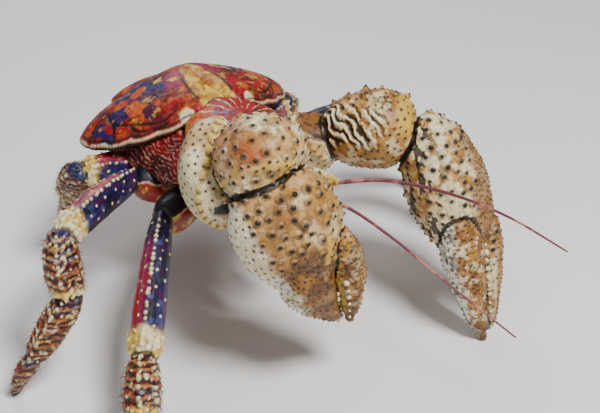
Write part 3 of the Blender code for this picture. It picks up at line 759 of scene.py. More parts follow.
def painted(name, gloss=(0.32, 0.58), grain=420.0, pits=520.0, pit_reach=0.22, pit_share=0.55, bump=0.35,
            tip_colour=UMBER, coat=0.15, shine=0.4):
    """A material that shows the vertices' paint, with grain, pits and dark knob tips."""
    material = bpy.data.materials.new(name)
    material.use_nodes = True
    tree = material.node_tree
    paint = add(tree, "ShaderNodeAttribute", attribute_name="paint").outputs["Color"]
    tip = add(tree, "ShaderNodeAttribute", attribute_name="tip").outputs["Fac"]
    grains = add(tree, "ShaderNodeGroup", {"Size": grain}, node_tree=grain_group)
    dots = add(tree, "ShaderNodeGroup", {"Size": pits, "Reach": pit_reach}, node_tree=pit_group)
    dots, grain_height = dots.outputs["Pits"], grains.outputs["Grain"]
    tinted = mix_colour(tree, 1.0, paint, scaled(tree, grain_height, 0.35, 1.65), "MULTIPLY")
    pitted = mix_colour(tree, scaled(tree, dots, 0.0, pit_share), tinted, BROWN * 0.5)
    height = add(tree, "ShaderNodeMath", {0: grain_height, 1: dots}, operation="SUBTRACT")
    relief = add(tree, "ShaderNodeBump", {
        "Strength": bump, "Distance": 0.0006, "Height": height.outputs["Value"],
    })
    feed(tree, tree.nodes["Principled BSDF"], {
        "Base Color": mix_colour(tree, tip, pitted, tip_colour),
        "Roughness": scaled(tree, grains.outputs["Cloud"], *gloss),
        "Normal": relief.outputs["Normal"],
        "Specular IOR Level": shine, "Coat Weight": coat, "Coat Roughness": 0.25,
    })
    return material


claw_shell = painted(
    "claw_shell", gloss=(0.38, 0.66), grain=520.0, pits=360.0, pit_reach=0.27, pit_share=0.8, coat=0.08
)
back_shell = painted(
    "back_shell", gloss=(0.34, 0.6), grain=340.0, pits=600.0, pit_share=0.6, bump=0.5, coat=0.05, shine=0.25
)
leg_shell = painted("leg_shell", gloss=(0.3, 0.55), grain=380.0, pits=650.0, pit_share=0.4, tip_colour=CREAM)
soft_skin = painted(
    "soft_skin", gloss=(0.45, 0.75), grain=260.0, pits=300.0, pit_share=0.3, bump=0.5, coat=0.05
)
feeler_shell = painted("feeler_shell", gloss=(0.35, 0.5), grain=900.0, pits=1500.0, pit_share=0.3, bump=0.2)

# %% [markdown]
# ## The right claw
#
# The right claw is held up in front of the face. Seen from the front, its longest piece, the merus,
# shows as a crescent behind a round carpus, and the broad palm hangs below with its two fingers
# closed. Sizes and places are those of the solids, so each skin sits exactly where its solid is.

# %% Sizes of both claws
LEFT_FLAT, RIGHT_FLAT = (0.35, -0.9, -0.3), (-0.2, -1, 0.1)  # how each flat hand is turned
# Start, end, half widths, half heights, the direction that the widths lie in, and the bow
CLAWS = {
    "left": {
        "base": ((22, -30, 84), (46, -48, 104), [13, 14, 15, 14], [15, 16, 17, 16], (1, -0.6, 0), 0),
        "merus": ((43, -49, 97), (50, -54, 140), [14, 18, 20, 20], [14, 19, 22, 23], (1, 0.9, 0), 0),
        "carpus": ((53, -56, 128), (101, -98, 138), [19, 25, 28, 26], [20, 26, 28, 25], (0.7, 0.8, 0), 0),
        "palm": ((105, -95, 143), (119, -146, 54), [19, 26, 27, 24, 17], [21, 29, 33, 32, 24], LEFT_FLAT, 2),
        "fixed": ((133, -136, 78), (121, -172, 3), [15, 13, 10, 7, 4], [15, 13, 10, 8, 4], LEFT_FLAT, 5),
        "finger": (
            (104, -142, 90), (111, -175, -2.5), [16, 15, 12, 8, 4.5], [18.5, 17.5, 13, 9, 4.5], LEFT_FLAT, -3,
        ),
    },
    "right": {
        "base": ((-22, -32, 84), (-38, -58, 106), [12, 13, 14, 13], [14, 15, 16, 15], (1, 0.6, 0), 0),
        "merus": ((-32, -52, 98), (-47, -88, 155), [14, 20, 25, 26], [18, 27, 36, 40], (1, -0.4, 0), 0),
        "carpus": ((-38, -86, 169), (-21, -129, 151), [22, 28, 31, 28], [19, 26, 29, 28], (1, 0.3, 0), 0),
        "palm": ((-40, -124, 156), (-4, -140, 74), [17, 24, 25, 22, 16], [26, 35, 35, 30, 21], RIGHT_FLAT, 0),
        "fixed": ((-27, -145, 100), (7, -147, 44), [18, 17, 13, 8.5, 4], [18, 19, 15, 9, 4], RIGHT_FLAT, -2),
        "finger": (
            (2, -146, 118), (7.5, -156, 49), [11, 12, 10.5, 8, 4], [9.5, 11.5, 11, 8, 4.2], RIGHT_FLAT, 4,
        ),
    },
}
claw = {
    side: {part: Limb(*row[:5], bow=row[5], blunt=0.42) for part, row in forms.items()}
    for side, forms in CLAWS.items()
}

# %% [markdown]
# The palm and its fixed finger are one piece of shell. Cream covers its outer edge, tan and orange
# its middle, and a dark, close-set granulation its tip. Large knobs stand on the middle; towards the
# edge and the tip they become small and dense. One function dresses the palms of both claws.

# %% Palms with their fixed fingers
def dress_palm(side):
    """The palm in its mottled ground colours, and how far each vertex lies along the fixed finger."""
    hand, fixed = claw[side]["palm"], claw[side]["fixed"]
    palm = Skin(even_skin(f"claw_{side}_palm_shell", [hand, fixed], 0.75, blend=2.2), hand)
    onto_finger, _ = fixed.where(palm.places)
    onto_finger = np.where(palm.s > 0.7, onto_finger, 0)
    palm.roughen(1.2, 16, 5)
    palm.paint(TAN)
    palm.blotch(OCHRE, 0.9, 0.42, 0.62, 22, 8)
    palm.blotch(AMBER, 0.6, 0.52, 0.7, 12, 18)
    palm.blotch(CREAM, 0.5, 0.55, 0.7, 9, 28)
    palm.blotch(BROWN, 0.45, 0.58, 0.68, 5, 29)
    return palm, onto_finger


def finish_palm(side, palm, pale, fine, big_height):
    """Big knobs, then small ones where the skin is pale or on the finger; then the creases."""
    stud(palm, 6.4, 3.1, big_height, 0.52, 4, allowed=(pale < 0.5) & (fine < 0.5))
    stud(palm, 4.4, 1.5, 0.8, 0.62, 5, allowed=(pale >= 0.5) & (fine < 0.5))
    stud(palm, 2.9, 1.35, 0.95, 0.6, 6, allowed=fine >= 0.5)
    palm.shaded_crease(claw[side]["carpus"], 3.2, 0.8)
    palm.shaded_crease(claw[side]["finger"], 1.6, 0.4, 0.85)
    palm.finish(claw_shell, f"claw_{side}_palm")


def left_of(places, first, second, reach):
    """1 on the left of the line from first to second, as the camera sees them, and 0 on its right."""
    first, second = np.array(first, float), np.array(second, float)
    side = unit(np.cross(back, second - first))
    side = side if side @ right < 0 else -side
    return smooth(-reach, reach, (places - first) @ side + 12 * (marbled(places, 9, 2) - 0.5))


# %% The right palm
RIGHT_EDGE = (-56, -137, 136), (-33, -156, 83)  # the pale outer edge lies on the left of this line
RIGHT_WRIST = [(-26, -132, 160), (-33, -142, 151), (-30, -152, 135), (-20, -155, 127), (-10, -154, 121)]
RIGHT_HINGE = [(-11, -154, 124), (-10, -157, 114), (-11, -157, 104)]
palm, onto_finger = dress_palm("right")
pale = left_of(palm.places, *RIGHT_EDGE, 5)
brown = np.maximum(0.8 * palm.near((-24, -158, 96), 20, seed=3), palm.near((-12, -158, 70), 26, seed=4))
palm.push(1.6 * smooth(26, 8, np.linalg.norm(palm.places - (-12, -146, 146), axis=1)))
palm.push(-1.3 * palm.band(RIGHT_WRIST, 3.0))
palm.paint(AMBER, 0.55 * palm.near((-38, -148, 140), 12, ragged=0.6, seed=6))
palm.paint(AMBER, 0.75 * brown)
palm.blotch(BROWN, 0.75, 0.4, 0.6, 9, 38, brown)
palm.paint(CREAM, 0.95 * pale)
palm.blotch(IVORY, 0.8, 0.4, 0.6, 12, 48, pale)
hinge = palm.band(RIGHT_HINGE, 3.4)
palm.push(1.5 * hinge)
palm.paint(YELLOW, 0.9 * hinge)
finish_palm("right", palm, pale, np.maximum(smooth(0.2, 0.4, onto_finger), brown), 2.5)


# %% The left palm
palm, onto_finger = dress_palm("left")
edge = smooth(0.45, 0.8, palm.normals @ right + 0.4 * (marbled(palm.places, 10, 3) - 0.5))
pale = smooth(0.46, 0.58, marbled(palm.places, 11, 53)) * (1 - edge)
palm.paint(CREAM, 0.8 * pale)
palm.paint(AMBER, 0.6 * edge)
palm.paint(BROWN, 0.4 * smooth(0.55, 0.9, onto_finger))
along = claw["left"]["palm"].along
drawn = palm.places - 0.6 * np.outer(palm.places @ along, along)
streak = smooth(0.57, 0.62, marbled(drawn, 4.5, 61)) * smooth(-0.2, 0.2, palm.normals @ -right)
palm.paint(UMBER, 0.9 * streak)
palm.push(-0.5 * streak)
finish_palm("left", palm, 0 * pale, smooth(0.25, 0.5, onto_finger + edge), 2.2)


# %% Movable fingers
def dress_finger(side):
    shape = claw[side]["finger"]
    finger = skin_of(f"claw_{side}_finger_shell", shape, 0.6)
    pale = smooth(0.15, 0.6, finger.normals @ -right + 0.3 * (marbled(finger.places, 8, 3) - 0.5))
    finger.roughen(0.8, 9, 7)
    finger.paint(OCHRE)
    finger.blotch(AMBER, 1, 0.45, 0.62, 12, 9)
    finger.blotch(CREAM, 0.75 if side == "left" else 0.3, 0.54, 0.6, 5, 19)
    finger.paint(IVORY if side == "left" else YELLOW, 0.9 * pale)
    net = smooth(0.58, 0.61, cloud(finger.places, 2.6, 71)) * smooth(0.04, 0.12, finger.s)
    finger.paint(UMBER, 0.85 * net * (pale if side == "left" else 0.6))
    finger.paint(BROWN, 0.8 * smooth(0.7, 1.0, finger.s))
    stud(finger, 3.2, 1.5, 1.0, 0.5, 6)
    finger.shaded_crease(claw[side]["palm"], 1.8, 0.3)
    finger.places[:, 2] = np.maximum(finger.places[:, 2], 0.0)
    return finger


for side in ("right", "left"):
    dress_finger(side).finish(claw_shell, f"claw_{side}_finger")


# %% Teeth along the biting edges
def tooth_row(shape, degrees, first, last, count, big, small):
    """Blunt teeth that shrink from first to last along one edge of a finger."""
    draw, spots = random.Random(degrees), []
    for i in range(count):
        share = i / (count - 1)
        s, size = first + (last - first) * share, (big + (small - big) * share) * draw.uniform(0.65, 1.1)
        t, phi = np.array([math.acos(1 - 2 * s) / math.pi]), np.radians([degrees])
        here, outside = shape.points(t, phi)[0], shape.points(t, phi, 1.0)[0]
        spots.append((here - 0.2 * size * unit(outside - here), outside - here, size, size * 0.95))
    return spots


# Part, angle in degrees, first and last share of its length, count, first and last size
TEETH = {
    "left": [("fixed", 285, 0.18, 0.92, 11, 3.0, 1.3), ("finger", 75, 0.45, 0.92, 8, 2.4, 1.2)],
    "right": [("fixed", 55, 0.55, 0.92, 6, 2.3, 1.3), ("finger", 330, 0.5, 0.92, 6, 2.0, 1.2)],
}
for side, rows in TEETH.items():
    spots = [spot for part, *settings in rows for spot in tooth_row(claw[side][part], *settings)]
    stamp(f"claw_{side}_teeth", tooth_model, spots, CREAM * 0.8, feeler_shell)


# %% Right carpus
RIGHT_COLLAR = [(-57, -106, 147), (-55, -118, 158), (-47, -129, 167), (-35, -134, 169), (-20, -136, 167)]


def dress_carpus_right():
    shape = claw["right"]["carpus"]
    carpus = skin_of("claw_right_carpus_shell", shape, 0.75)
    collar = carpus.band(RIGHT_COLLAR, 4.0)
    carpus.push(1.2 * (marbled(carpus.places, 16, 2) - 0.5) + 1.5 * collar)
    carpus.paint(CREAM)
    carpus.blotch(TAN, 0.9, 0.40, 0.55, 14, 12)
    carpus.paint(PINK, 0.55 * carpus.near((-52, -106, 172), 22, ragged=0.6, seed=3))
    carpus.paint(AMBER, 0.75 * carpus.near((-44, -119, 176), 14, ragged=0.8, seed=5))
    carpus.paint(ORANGE, 0.6 * carpus.near((-43, -122, 176), 8, ragged=0.9, seed=6))
    carpus.blotch(OCHRE, 0.7, 0.5, 0.64, 8, 22)
    carpus.blotch(BROWN, 0.5, 0.6, 0.68, 4, 32)
    carpus.paint(YELLOW, 0.9 * collar)
    stud(carpus, 7.0, 2.7, 2.0, 0.5, 8, allowed=collar < 0.2)
    stud(carpus, 4.2, 1.6, 0.8, 0.6, 9, allowed=collar >= 0.2)
    carpus.shaded_crease(claw["right"]["palm"], 3.0, 0.9)
    carpus.shaded_crease(claw["right"]["merus"], 2.2, 0.4)
    return carpus


dress_carpus_right().finish(claw_shell, "claw_right_carpus")


# %% Left carpus
RIB_WIDTH = 5.4  # millimetres from one pale rib of its front wall to the next


def dress_carpus_left():
    shape = claw["left"]["carpus"]
    carpus = skin_of("claw_left_carpus_shell", shape, 0.7)
    from_middle = carpus.places - 0.5 * (np.array(CLAWS["left"]["carpus"][0]) + CLAWS["left"]["carpus"][1])
    high, across = from_middle @ view_up, from_middle @ right
    wall = smooth(0.15, 0.45, carpus.normals @ back)
    wall = wall * smooth(14, 8, high + 0.25 * across) * smooth(-18, -8, high)
    wall = wall * smooth(0.9, 0.8, carpus.s) * smooth(14, 2, across)
    wave = np.cos((0.80 * across + 0.60 * high + 9 * marbled(carpus.places, 9, 6)) * math.tau / RIB_WIDTH)
    wave = wave * smooth(0.2, 0.5, marbled(carpus.places, 7, 26))
    carpus.paint(OCHRE)
    carpus.blotch(AMBER, 0.8, 0.42, 0.6, 14, 4, smooth(-5, 8, high))
    carpus.blotch(CREAM, 0.7, 0.52, 0.66, 7, 14)
    carpus.paint(CREAM, 0.8 * wall * smooth(0.0, 0.6, wave))
    carpus.paint(UMBER, 0.9 * wall * smooth(-0.1, -0.5, wave))
    carpus.paint(YELLOW, 0.8 * smooth(0.80, 0.88, carpus.s) * smooth(-10, 0, high))
    carpus.push(0.9 * wall * wave + 0.6 * (marbled(carpus.places, 14, 9) - 0.5))
    stud(carpus, 12.5, 3.4, 3.4, 0.4, 3, allowed=(carpus.normals @ view_up > 0.6) & (carpus.s < 0.93))
    stud(carpus, 4.6, 1.6, 0.9, 0.62, 5, allowed=wall < 0.3)
    carpus.shaded_crease(claw["left"]["palm"], 3.0, 0.8)
    carpus.shaded_crease(claw["left"]["merus"], 2.5, 0.4)
    return carpus


dress_carpus_left().finish(claw_shell, "claw_left_carpus")


# %% Both meri, with their rope-like rims
ROPES = {
    "left": [
        (42, -36, 146), (34, -48, 147), (31, -60, 142), (33, -68, 132), (38, -72, 122), (47, -73, 112),
    ],
    "right": [
        (-22, -60, 166), (-32, -66, 168), (-41, -75, 164), (-52, -86, 155), (-62, -94, 142), (-65, -97, 130),
        (-61, -99, 120), (-52, -102, 114), (-40, -102, 112),
    ],
}


def dress_merus(side, upper_colour, inside_colour):
    shape = claw[side]["merus"]
    merus = skin_of(f"claw_{side}_merus_shell", shape, 0.8)
    far, nearest, on_rope = distance_to_line(merus.places, ROPES[side])
    rope = ridge(far, 0, 5.0)
    strands = 0.5 + 0.5 * np.cos(nearest * 1.15 + far * 0.6)
    merus.paint(CREAM)
    merus.blotch(OCHRE, 0.7, 0.45, 0.66, 16, 4)
    upper = smooth(0.1, 0.7, merus.normals @ UP + 0.5 * (marbled(merus.places, 12, 6) - 0.5))
    merus.paint(upper_colour, 0.85 * upper * smooth(0.9, 0.75, merus.s))
    inwards = (merus.places - on_rope) @ unit(claw[side]["carpus"].start - np.mean(ROPES[side], axis=0))
    inside = smooth(0.78, 0.84, merus.s) * smooth(2.0, 4.5, inwards)
    outer = smooth(-4, -9, inwards) * smooth(20, 12, far) * upper
    merus.paint(upper_colour, 0.9 * outer)
    merus.blotch(INDIGO, 0.8, 0.5, 0.6, 5, 16, outer)
    merus.paint(inside_colour, inside)
    merus.blotch(UMBER, 0.7, 0.5, 0.6, 5, 26, inside)
    merus.push(0.8 * (marbled(merus.places, 14, 4) - 0.5) - 2.0 * inside + (1.4 + 1.0 * strands) * rope)
    merus.paint(YELLOW, 0.8 * smooth(0.35, 0.7, rope))
    merus.paint(UMBER, 0.8 * smooth(0.35, 0.7, rope) * smooth(0.3, 0.05, strands))
    stud(merus, 4.6, 1.5, 0.7, 0.6, 9, allowed=(inside < 0.1) & (rope < 0.2))
    merus.shaded_crease(claw[side]["carpus"], 3.0, 0.6)
    return merus


dress_merus("right", SLATE, NAVY * 0.6).finish(claw_shell, "claw_right_merus")
dress_merus("left", OCHRE, AMBER).finish(claw_shell, "claw_left_merus")


# %% The claws' first lengths, tucked under the shield
for side in ("left", "right"):
    shape = claw[side]["base"]
    base = skin_of(f"claw_{side}_base_shell", shape, 1.1)
    base.roughen(0.8, 10, 3)
    base.paint(ORANGE)
    base.blotch(WINE, 1, 0.45, 0.65, 12, 5)
    base.finish(claw_shell, f"claw_{side}_base")

# %% [markdown]
# ## Walking legs
#
# Four long legs carry the crab, and a smaller pair behind them. A leg's long upper length is indigo
# and magenta, with a crest of white knobs and a pale, knobbed knee. Its lower lengths are crossed by
# rust, ochre and dark streaks and bear bristles. One function dresses every length from a table.

# %% Sizes of the legs
LEG_PLACES = {
    "leg2_right": [
        (-30, -16, 82), (-67, -42, 90), (-122, -120, 49), (-141, -155, 33), (-171, -203, 20),
        (-180, -236, -2.5),
    ],
    "leg3_right": [
        (-34, 0, 84), (-64, 8, 96), (-138, -45, 105), (-143, -62, 70), (-172, -58, 30), (-186, -48, -2.5),
    ],
    "leg2_left": [
        (30, -12, 82), (60, -22, 88), (144, -30, 92), (164, -54, 78), (174, -80, 38), (173, -92, -2.5),
    ],
    "leg3_left": [(34, 2, 84), (64, 8, 92), (142, 3, 95), (169, 3, 74), (186, 6, 36), (189, 12, -2.5)],
    "leg4_right": [(-34, 28, 84), (-92, 34, 98), (-88, 68, 60), (-92, 96, -2.5)],
    "leg4_left": [(34, 28, 84), (92, 58, 88), (104, 76, 66), (109, 98, -2.5)],
}
WALKING_FORMS = [
    ("base", [12, 13, 13, 12], [14, 15, 15, 13.5], 0, 0.40),
    ("merus", [8.5, 9.5, 10, 11, 12], [10.5, 12, 12.5, 13, 13.5], 3, 0.34),
    ("carpus", [9.5, 11, 12, 11.5], [11, 13, 13.5, 12.5], 2, 0.36),
    ("propodus", [9.5, 10.5, 10, 8.5], [10.5, 12, 11, 9.5], 0, 0.36),
    ("dactyl", [7.5, 7, 5.6, 4.0, 2.5], [8.5, 8, 6.2, 4.4, 2.7], 3, 0.38),
]
HIND_FORMS = [
    ("merus", [9, 11, 11.5, 10], [11, 13.5, 13.5, 11.5], 2, 0.36),
    ("carpus", [8.5, 10.5, 10.5, 9], [10.5, 12.5, 12.5, 10.5], 2, 0.38),
    ("hand", [8, 9, 8, 5, 2.6], [9.5, 10.5, 9, 6, 2.8], 0, 0.40),
]
GIRTHS = {"leg2": 1.0, "leg3": 0.95, "leg4": 1.0}
SUNK = 6.0  # how far each length starts inside the one before it
BRISTLE = (0.22, 3.4)  # a bristle's half width and its length


def leg_shapes(leg):
    places = [np.array(place, float) for place in LEG_PLACES[leg]]
    forms = HIND_FORMS if leg.startswith("leg4") else WALKING_FORMS
    away = places[-2] - places[0]
    side = unit(np.cross([away[0], away[1], 0], UP))
    shapes = {}
    for i, (word, widths, heights, bow, blunt) in enumerate(forms):
        start, end = places[i], places[i + 1]
        if i > 0:
            start = start - unit(end - start) * SUNK
        girth = GIRTHS[leg[:4]]
        widths, heights = [w * girth for w in widths], [h * girth for h in heights]
        shapes[word] = Limb(start, end, widths, heights, side=side, bow=bow, blunt=blunt)
    return shapes


# %% Crest, paint and knees of the legs
def crest_spots(skin, degrees, count, seed):
    """The skin's vertices nearest to nearly evenly spaced places along one angle."""
    draw, first, last = random.Random(seed), 0.12, 0.92
    spots = []
    for i in range(count):
        s = first + (last - first) * (i + draw.uniform(-0.4, 0.4)) / (count - 1)
        off = ((skin.s - s) * skin.shape.length) ** 2 + (turn_between(skin.phi, degrees) * 13) ** 2
        spots.append(int(np.argmin(off)))
    return spots


def paint_leg_base(skin, seed):
    """The first length is red and yellow, under a dark cap with a pale border."""
    skin.paint(RUST)
    skin.blotch(CRIMSON, 1, 0.4, 0.55, 7, seed)
    skin.blotch(YELLOW, 0.7, 0.55, 0.64, 5, seed + 3)
    cap = smooth(0.25, 0.5, skin.normals @ UP + 0.5 * (marbled(skin.places, 9, seed + 5) - 0.5))
    skin.paint(CREAM, 0.9 * ridge(cap, 0.3, 0.2))
    skin.paint(NAVY * 0.6, smooth(0.4, 0.6, cap))


def paint_leg(skin, away, under, seed):
    """Indigo, with magenta on one side of the crest and tan below."""
    warm = smooth(1.0, -3.0, away + 7 * (marbled(skin.places, 9, seed + 2) - 0.5))
    skin.paint(INDIGO)
    skin.blotch(NAVY, 1, 0.4, 0.6, 10, seed + 3)
    skin.blotch(SLATE, 0.5, 0.56, 0.7, 7, seed + 9)
    skin.paint(MAGENTA, 0.9 * warm * smooth(0.15, 0.4, skin.s))
    skin.blotch(VIOLET, 0.7, 0.5, 0.62, 6, seed + 15, 1 - warm)
    skin.blotch(CRIMSON, 0.9, 0.5, 0.62, 8, seed + 12, warm * smooth(0.3, 0.5, skin.s))
    skin.blotch(PINK, 0.5, 0.58, 0.68, 5, seed + 14, warm)
    skin.paint(TAN, 0.85 * under)
    skin.blotch(BROWN, 0.6, 0.5, 0.62, 6, seed + 4, under)


def streak_leg(skin, away, word, seed):
    """Broken cross streaks of rust, ochre and a near black, which stand out a little."""
    bent = 0.5 * abs(away) + 9 * marbled(skin.places, 5.5, seed + 8)
    streak = np.cos(skin.s * skin.shape.length * 1.1 + bent)
    rough = 0.9 * smooth(0.05, 0.2, skin.s) if word != "dactyl" else 0.7
    skin.blotch(RUST, 1, 0.35, 0.5, 11, seed + 8, rough)
    skin.paint(AMBER, 0.85 * rough * smooth(0.0, 0.7, streak))
    skin.blotch(OCHRE, 0.8, 0.45, 0.55, 6, seed + 18, rough * smooth(0.45, 0.9, streak))
    skin.blotch(CREAM, 0.7, 0.54, 0.6, 3.5, seed + 19, rough)
    skin.paint(UMBER, 0.9 * rough * smooth(-0.1, -0.7, streak))
    skin.push(0.5 * streak)


def dress_knee(skin, seed):
    """A pale, knobbed collar at the far end of a length."""
    knee = smooth(0.80, 0.88, skin.s + 0.1 * (marbled(skin.places, 9, seed + 6) - 0.5))
    skin.paint(YELLOW, knee)
    skin.blotch(CREAM, 0.9, 0.42, 0.56, 7, seed + 7, knee)
    skin.push(1.3 * ridge(skin.s, 0.90, 0.07))
    knobs = scatter(skin, 5.0, allowed=(knee > 0.6) & (skin.s < 0.97), seed=seed)
    raise_knobs(skin, knobs, 2.2, 1.5, 0.45, seed)


# %% Dress one length of a leg
def dress_leg_length(leg, word, shape, seed):
    side = LEFT if leg.endswith("left") else RIGHT
    outwards = unit(back * (-side, 1, 1) + 0.25 * UP)  # where the crest looks, up and to the front
    skin = skin_of(f"{leg}_{word}_shell", shape, 0.85 if side == RIGHT else 1.1)
    crest = shape.facing(outwards)
    sense = math.copysign(1, shape.across @ np.cross(shape.along, outwards))
    turn = sense * turn_between(skin.phi, crest)
    away = turn * np.mean(shape.widths)  # millimetres round the length from the crest
    under = smooth(1.5, 2.3, abs(turn) + 0.8 * (marbled(skin.places, 12, seed) - 0.5))
    skin.roughen(0.7, 9, seed + 1)
    if word == "base":
        paint_leg_base(skin, seed)
        return skin
    skin.push(0.8 * ridge(away, 0, 3.2) - 0.7 * ridge(away, 7, 2.2) - 0.7 * ridge(away, -7, 2.2))
    paint_leg(skin, away, under, seed)
    if word != "merus":
        streak_leg(skin, away, word, seed)
    if word in ("merus", "carpus"):
        dress_knee(skin, seed)
    if word in ("dactyl", "hand"):
        skin.paint(UMBER, 0.9 * smooth(0.66, 0.9, skin.s))
        return skin
    spots = crest_spots(skin, crest, max(5, int(shape.length / 5.2)), seed)
    raise_knobs(skin, spots, 2.0, 2.2, 0.55, seed)
    beside = (abs(away) > 4) & (abs(away) < 13) & (skin.s > 0.1)
    raise_knobs(skin, scatter(skin, 7.0, allowed=beside, seed=seed + 1), 1.2, 0.8, 0.65, seed)
    return skin


# %% All lengths of all legs, with their bristles
for number, leg in enumerate(LEG_PLACES):
    for step, (word, shape) in enumerate(leg_shapes(leg).items()):
        skin = dress_leg_length(leg, word, shape, seed=10 * number + step + 20)
        others = list(leg_shapes(leg).values())
        for neighbour in others[max(step - 1, 0):step] + others[step + 1:step + 2]:
            skin.shaded_crease(neighbour, 1.8, 0.3, 0.8)
        if word in ("dactyl", "hand"):
            skin.places[:, 2] = np.maximum(skin.places[:, 2], 0.0)
        skin.finish(leg_shell, f"{leg}_{word}")
        if word in ("carpus", "propodus", "dactyl", "hand"):
            above = (skin.s > 0.1) & (skin.places[:, 2] > 3)
            roots = scatter(skin, 3.3, allowed=above, seed=step, tries=1500)
            spots = [(skin.places[i], skin.normals[i] + 0.9 * shape.along, *BRISTLE) for i in roots]
            stamp(f"{leg}_{word}_bristles", bristle_model, spots, BROWN, feeler_shell)

# %% [markdown]
# ## The back
#
# The back is four plates: a shield in front, a small wedge behind it and two broad lobes over the
# gills. Fine dark seams part the lobes' middle from the small plates along their margin, and a cream
# rim runs round the outside. The colour is orange to crimson, blotched with indigo.

# %% Outlines and edges of the plates
SHIELD_OUTLINE = [
    (0, 5), (12, 4), (24, -2), (33, -16), (37, -34), (32, -54), (20, -66), (8, -75), (2.5, -83), (0, -87),
]
WEDGE_OUTLINE = [(0, -4), (12, -3), (11, 6), (8, 20), (5, 36), (2.5, 48), (0, 54)]
LOBE_OUTLINE = [
    (14, -9), (28, -5), (45, 3), (60, 14), (74, 28), (82, 44), (80, 62), (64, 76), (37, 77),
    (12, 68), (-2, 58), (-2, 30), (2, 8), (7, -3),
]
THORAX_OUTLINE = [(0, -66), (20, -64), (34, -50), (46, -30), (56, 0), (62, 25), (56, 46), (34, 57), (0, 56)]


def both_sides(half):
    return half + [(-x, y) for x, y in half if x > 0]


def shield_edge(x, y):
    return 140.5 - 0.20 * abs(x) + 0.06 * y - 0.006 * np.maximum(0.0, -y - 60) ** 2


def lobe_edge(x, y):
    return 146.5 - 0.43 * abs(x) - 0.005 * np.maximum(0.0, y - 30) ** 2


def wedge_edge(x, y):
    return 141 - 0.10 * abs(x) - 0.005 * np.maximum(0.0, y - 30) ** 2


# %% Seams and patches of the lobes
# Seams on the right lobe, which the left one mirrors; the first bounds the pale field of the middle
LOBE_SEAMS = [
    [(-13, 0, 148), (-14, 10, 151), (-12, 22, 152), (-8, 36, 151), (-1, 50, 147)],
    [
        (-62, 47, 129), (-65, 32, 129), (-57, 20, 132), (-47, 9, 135), (-39, 3, 138), (-28, 3, 143),
        (-16, 1, 146),
    ],
    [(-65, 32, 129), (-67, 27, 126), (-71, 21, 120)],
    [(-57, 20, 132), (-57, 16, 130), (-53, 10, 130), (-45, 5, 132), (-38, 1, 136)],
    [(-62, 47, 129), (-70, 46, 124), (-80, 42, 116)],
]
# Colour, the middle of the patch and its radius, in the order that they are laid on
LOBE_PATCHES = {
    "right": [
        (VIOLET, (-30, 42, 144), 19), (MAGENTA, (-14, 31, 151), 13), (INDIGO, (-58, 34, 133), 9),
        (INDIGO, (-45, 55, 136), 9), (INDIGO, (-33, 57, 139), 8), (INDIGO, (-33, 42, 144), 7),
        (INDIGO, (-25, 34, 148), 5), (VIOLET, (-43, 15, 140), 6), (INDIGO, (-72, 38, 122), 7),
        (INDIGO, (-72, 28, 119), 6), (ORANGE, (-39, 44, 142), 6), (ORANGE, (-48, 29, 138), 7),
        (OCHRE, (-40, 27, 142), 4), (YELLOW, (-24, 42, 148), 3.5), (YELLOW, (-16, 32, 151), 3),
        (ORANGE, (-53, 45, 135), 5),
    ],
    "left": [
        (MAGENTA, (18, 42, 149), 16), (VIOLET, (34, 45, 143), 13), (INDIGO, (33, 42, 143), 6),
        (INDIGO, (60, 40, 131), 8), (INDIGO, (48, 55, 135), 9), (YELLOW, (28, 37, 146), 4),
        (YELLOW, (21, 40, 149), 3.5), (OCHRE, (43, 24, 141), 5), (ORANGE, (52, 36, 137), 7),
    ],
}


# %% The two lobes
def lobe_form(side):
    return Dome((side * 36, 26), [(side * x, y) for x, y in LOBE_OUTLINE], lobe_edge, 13, 9)


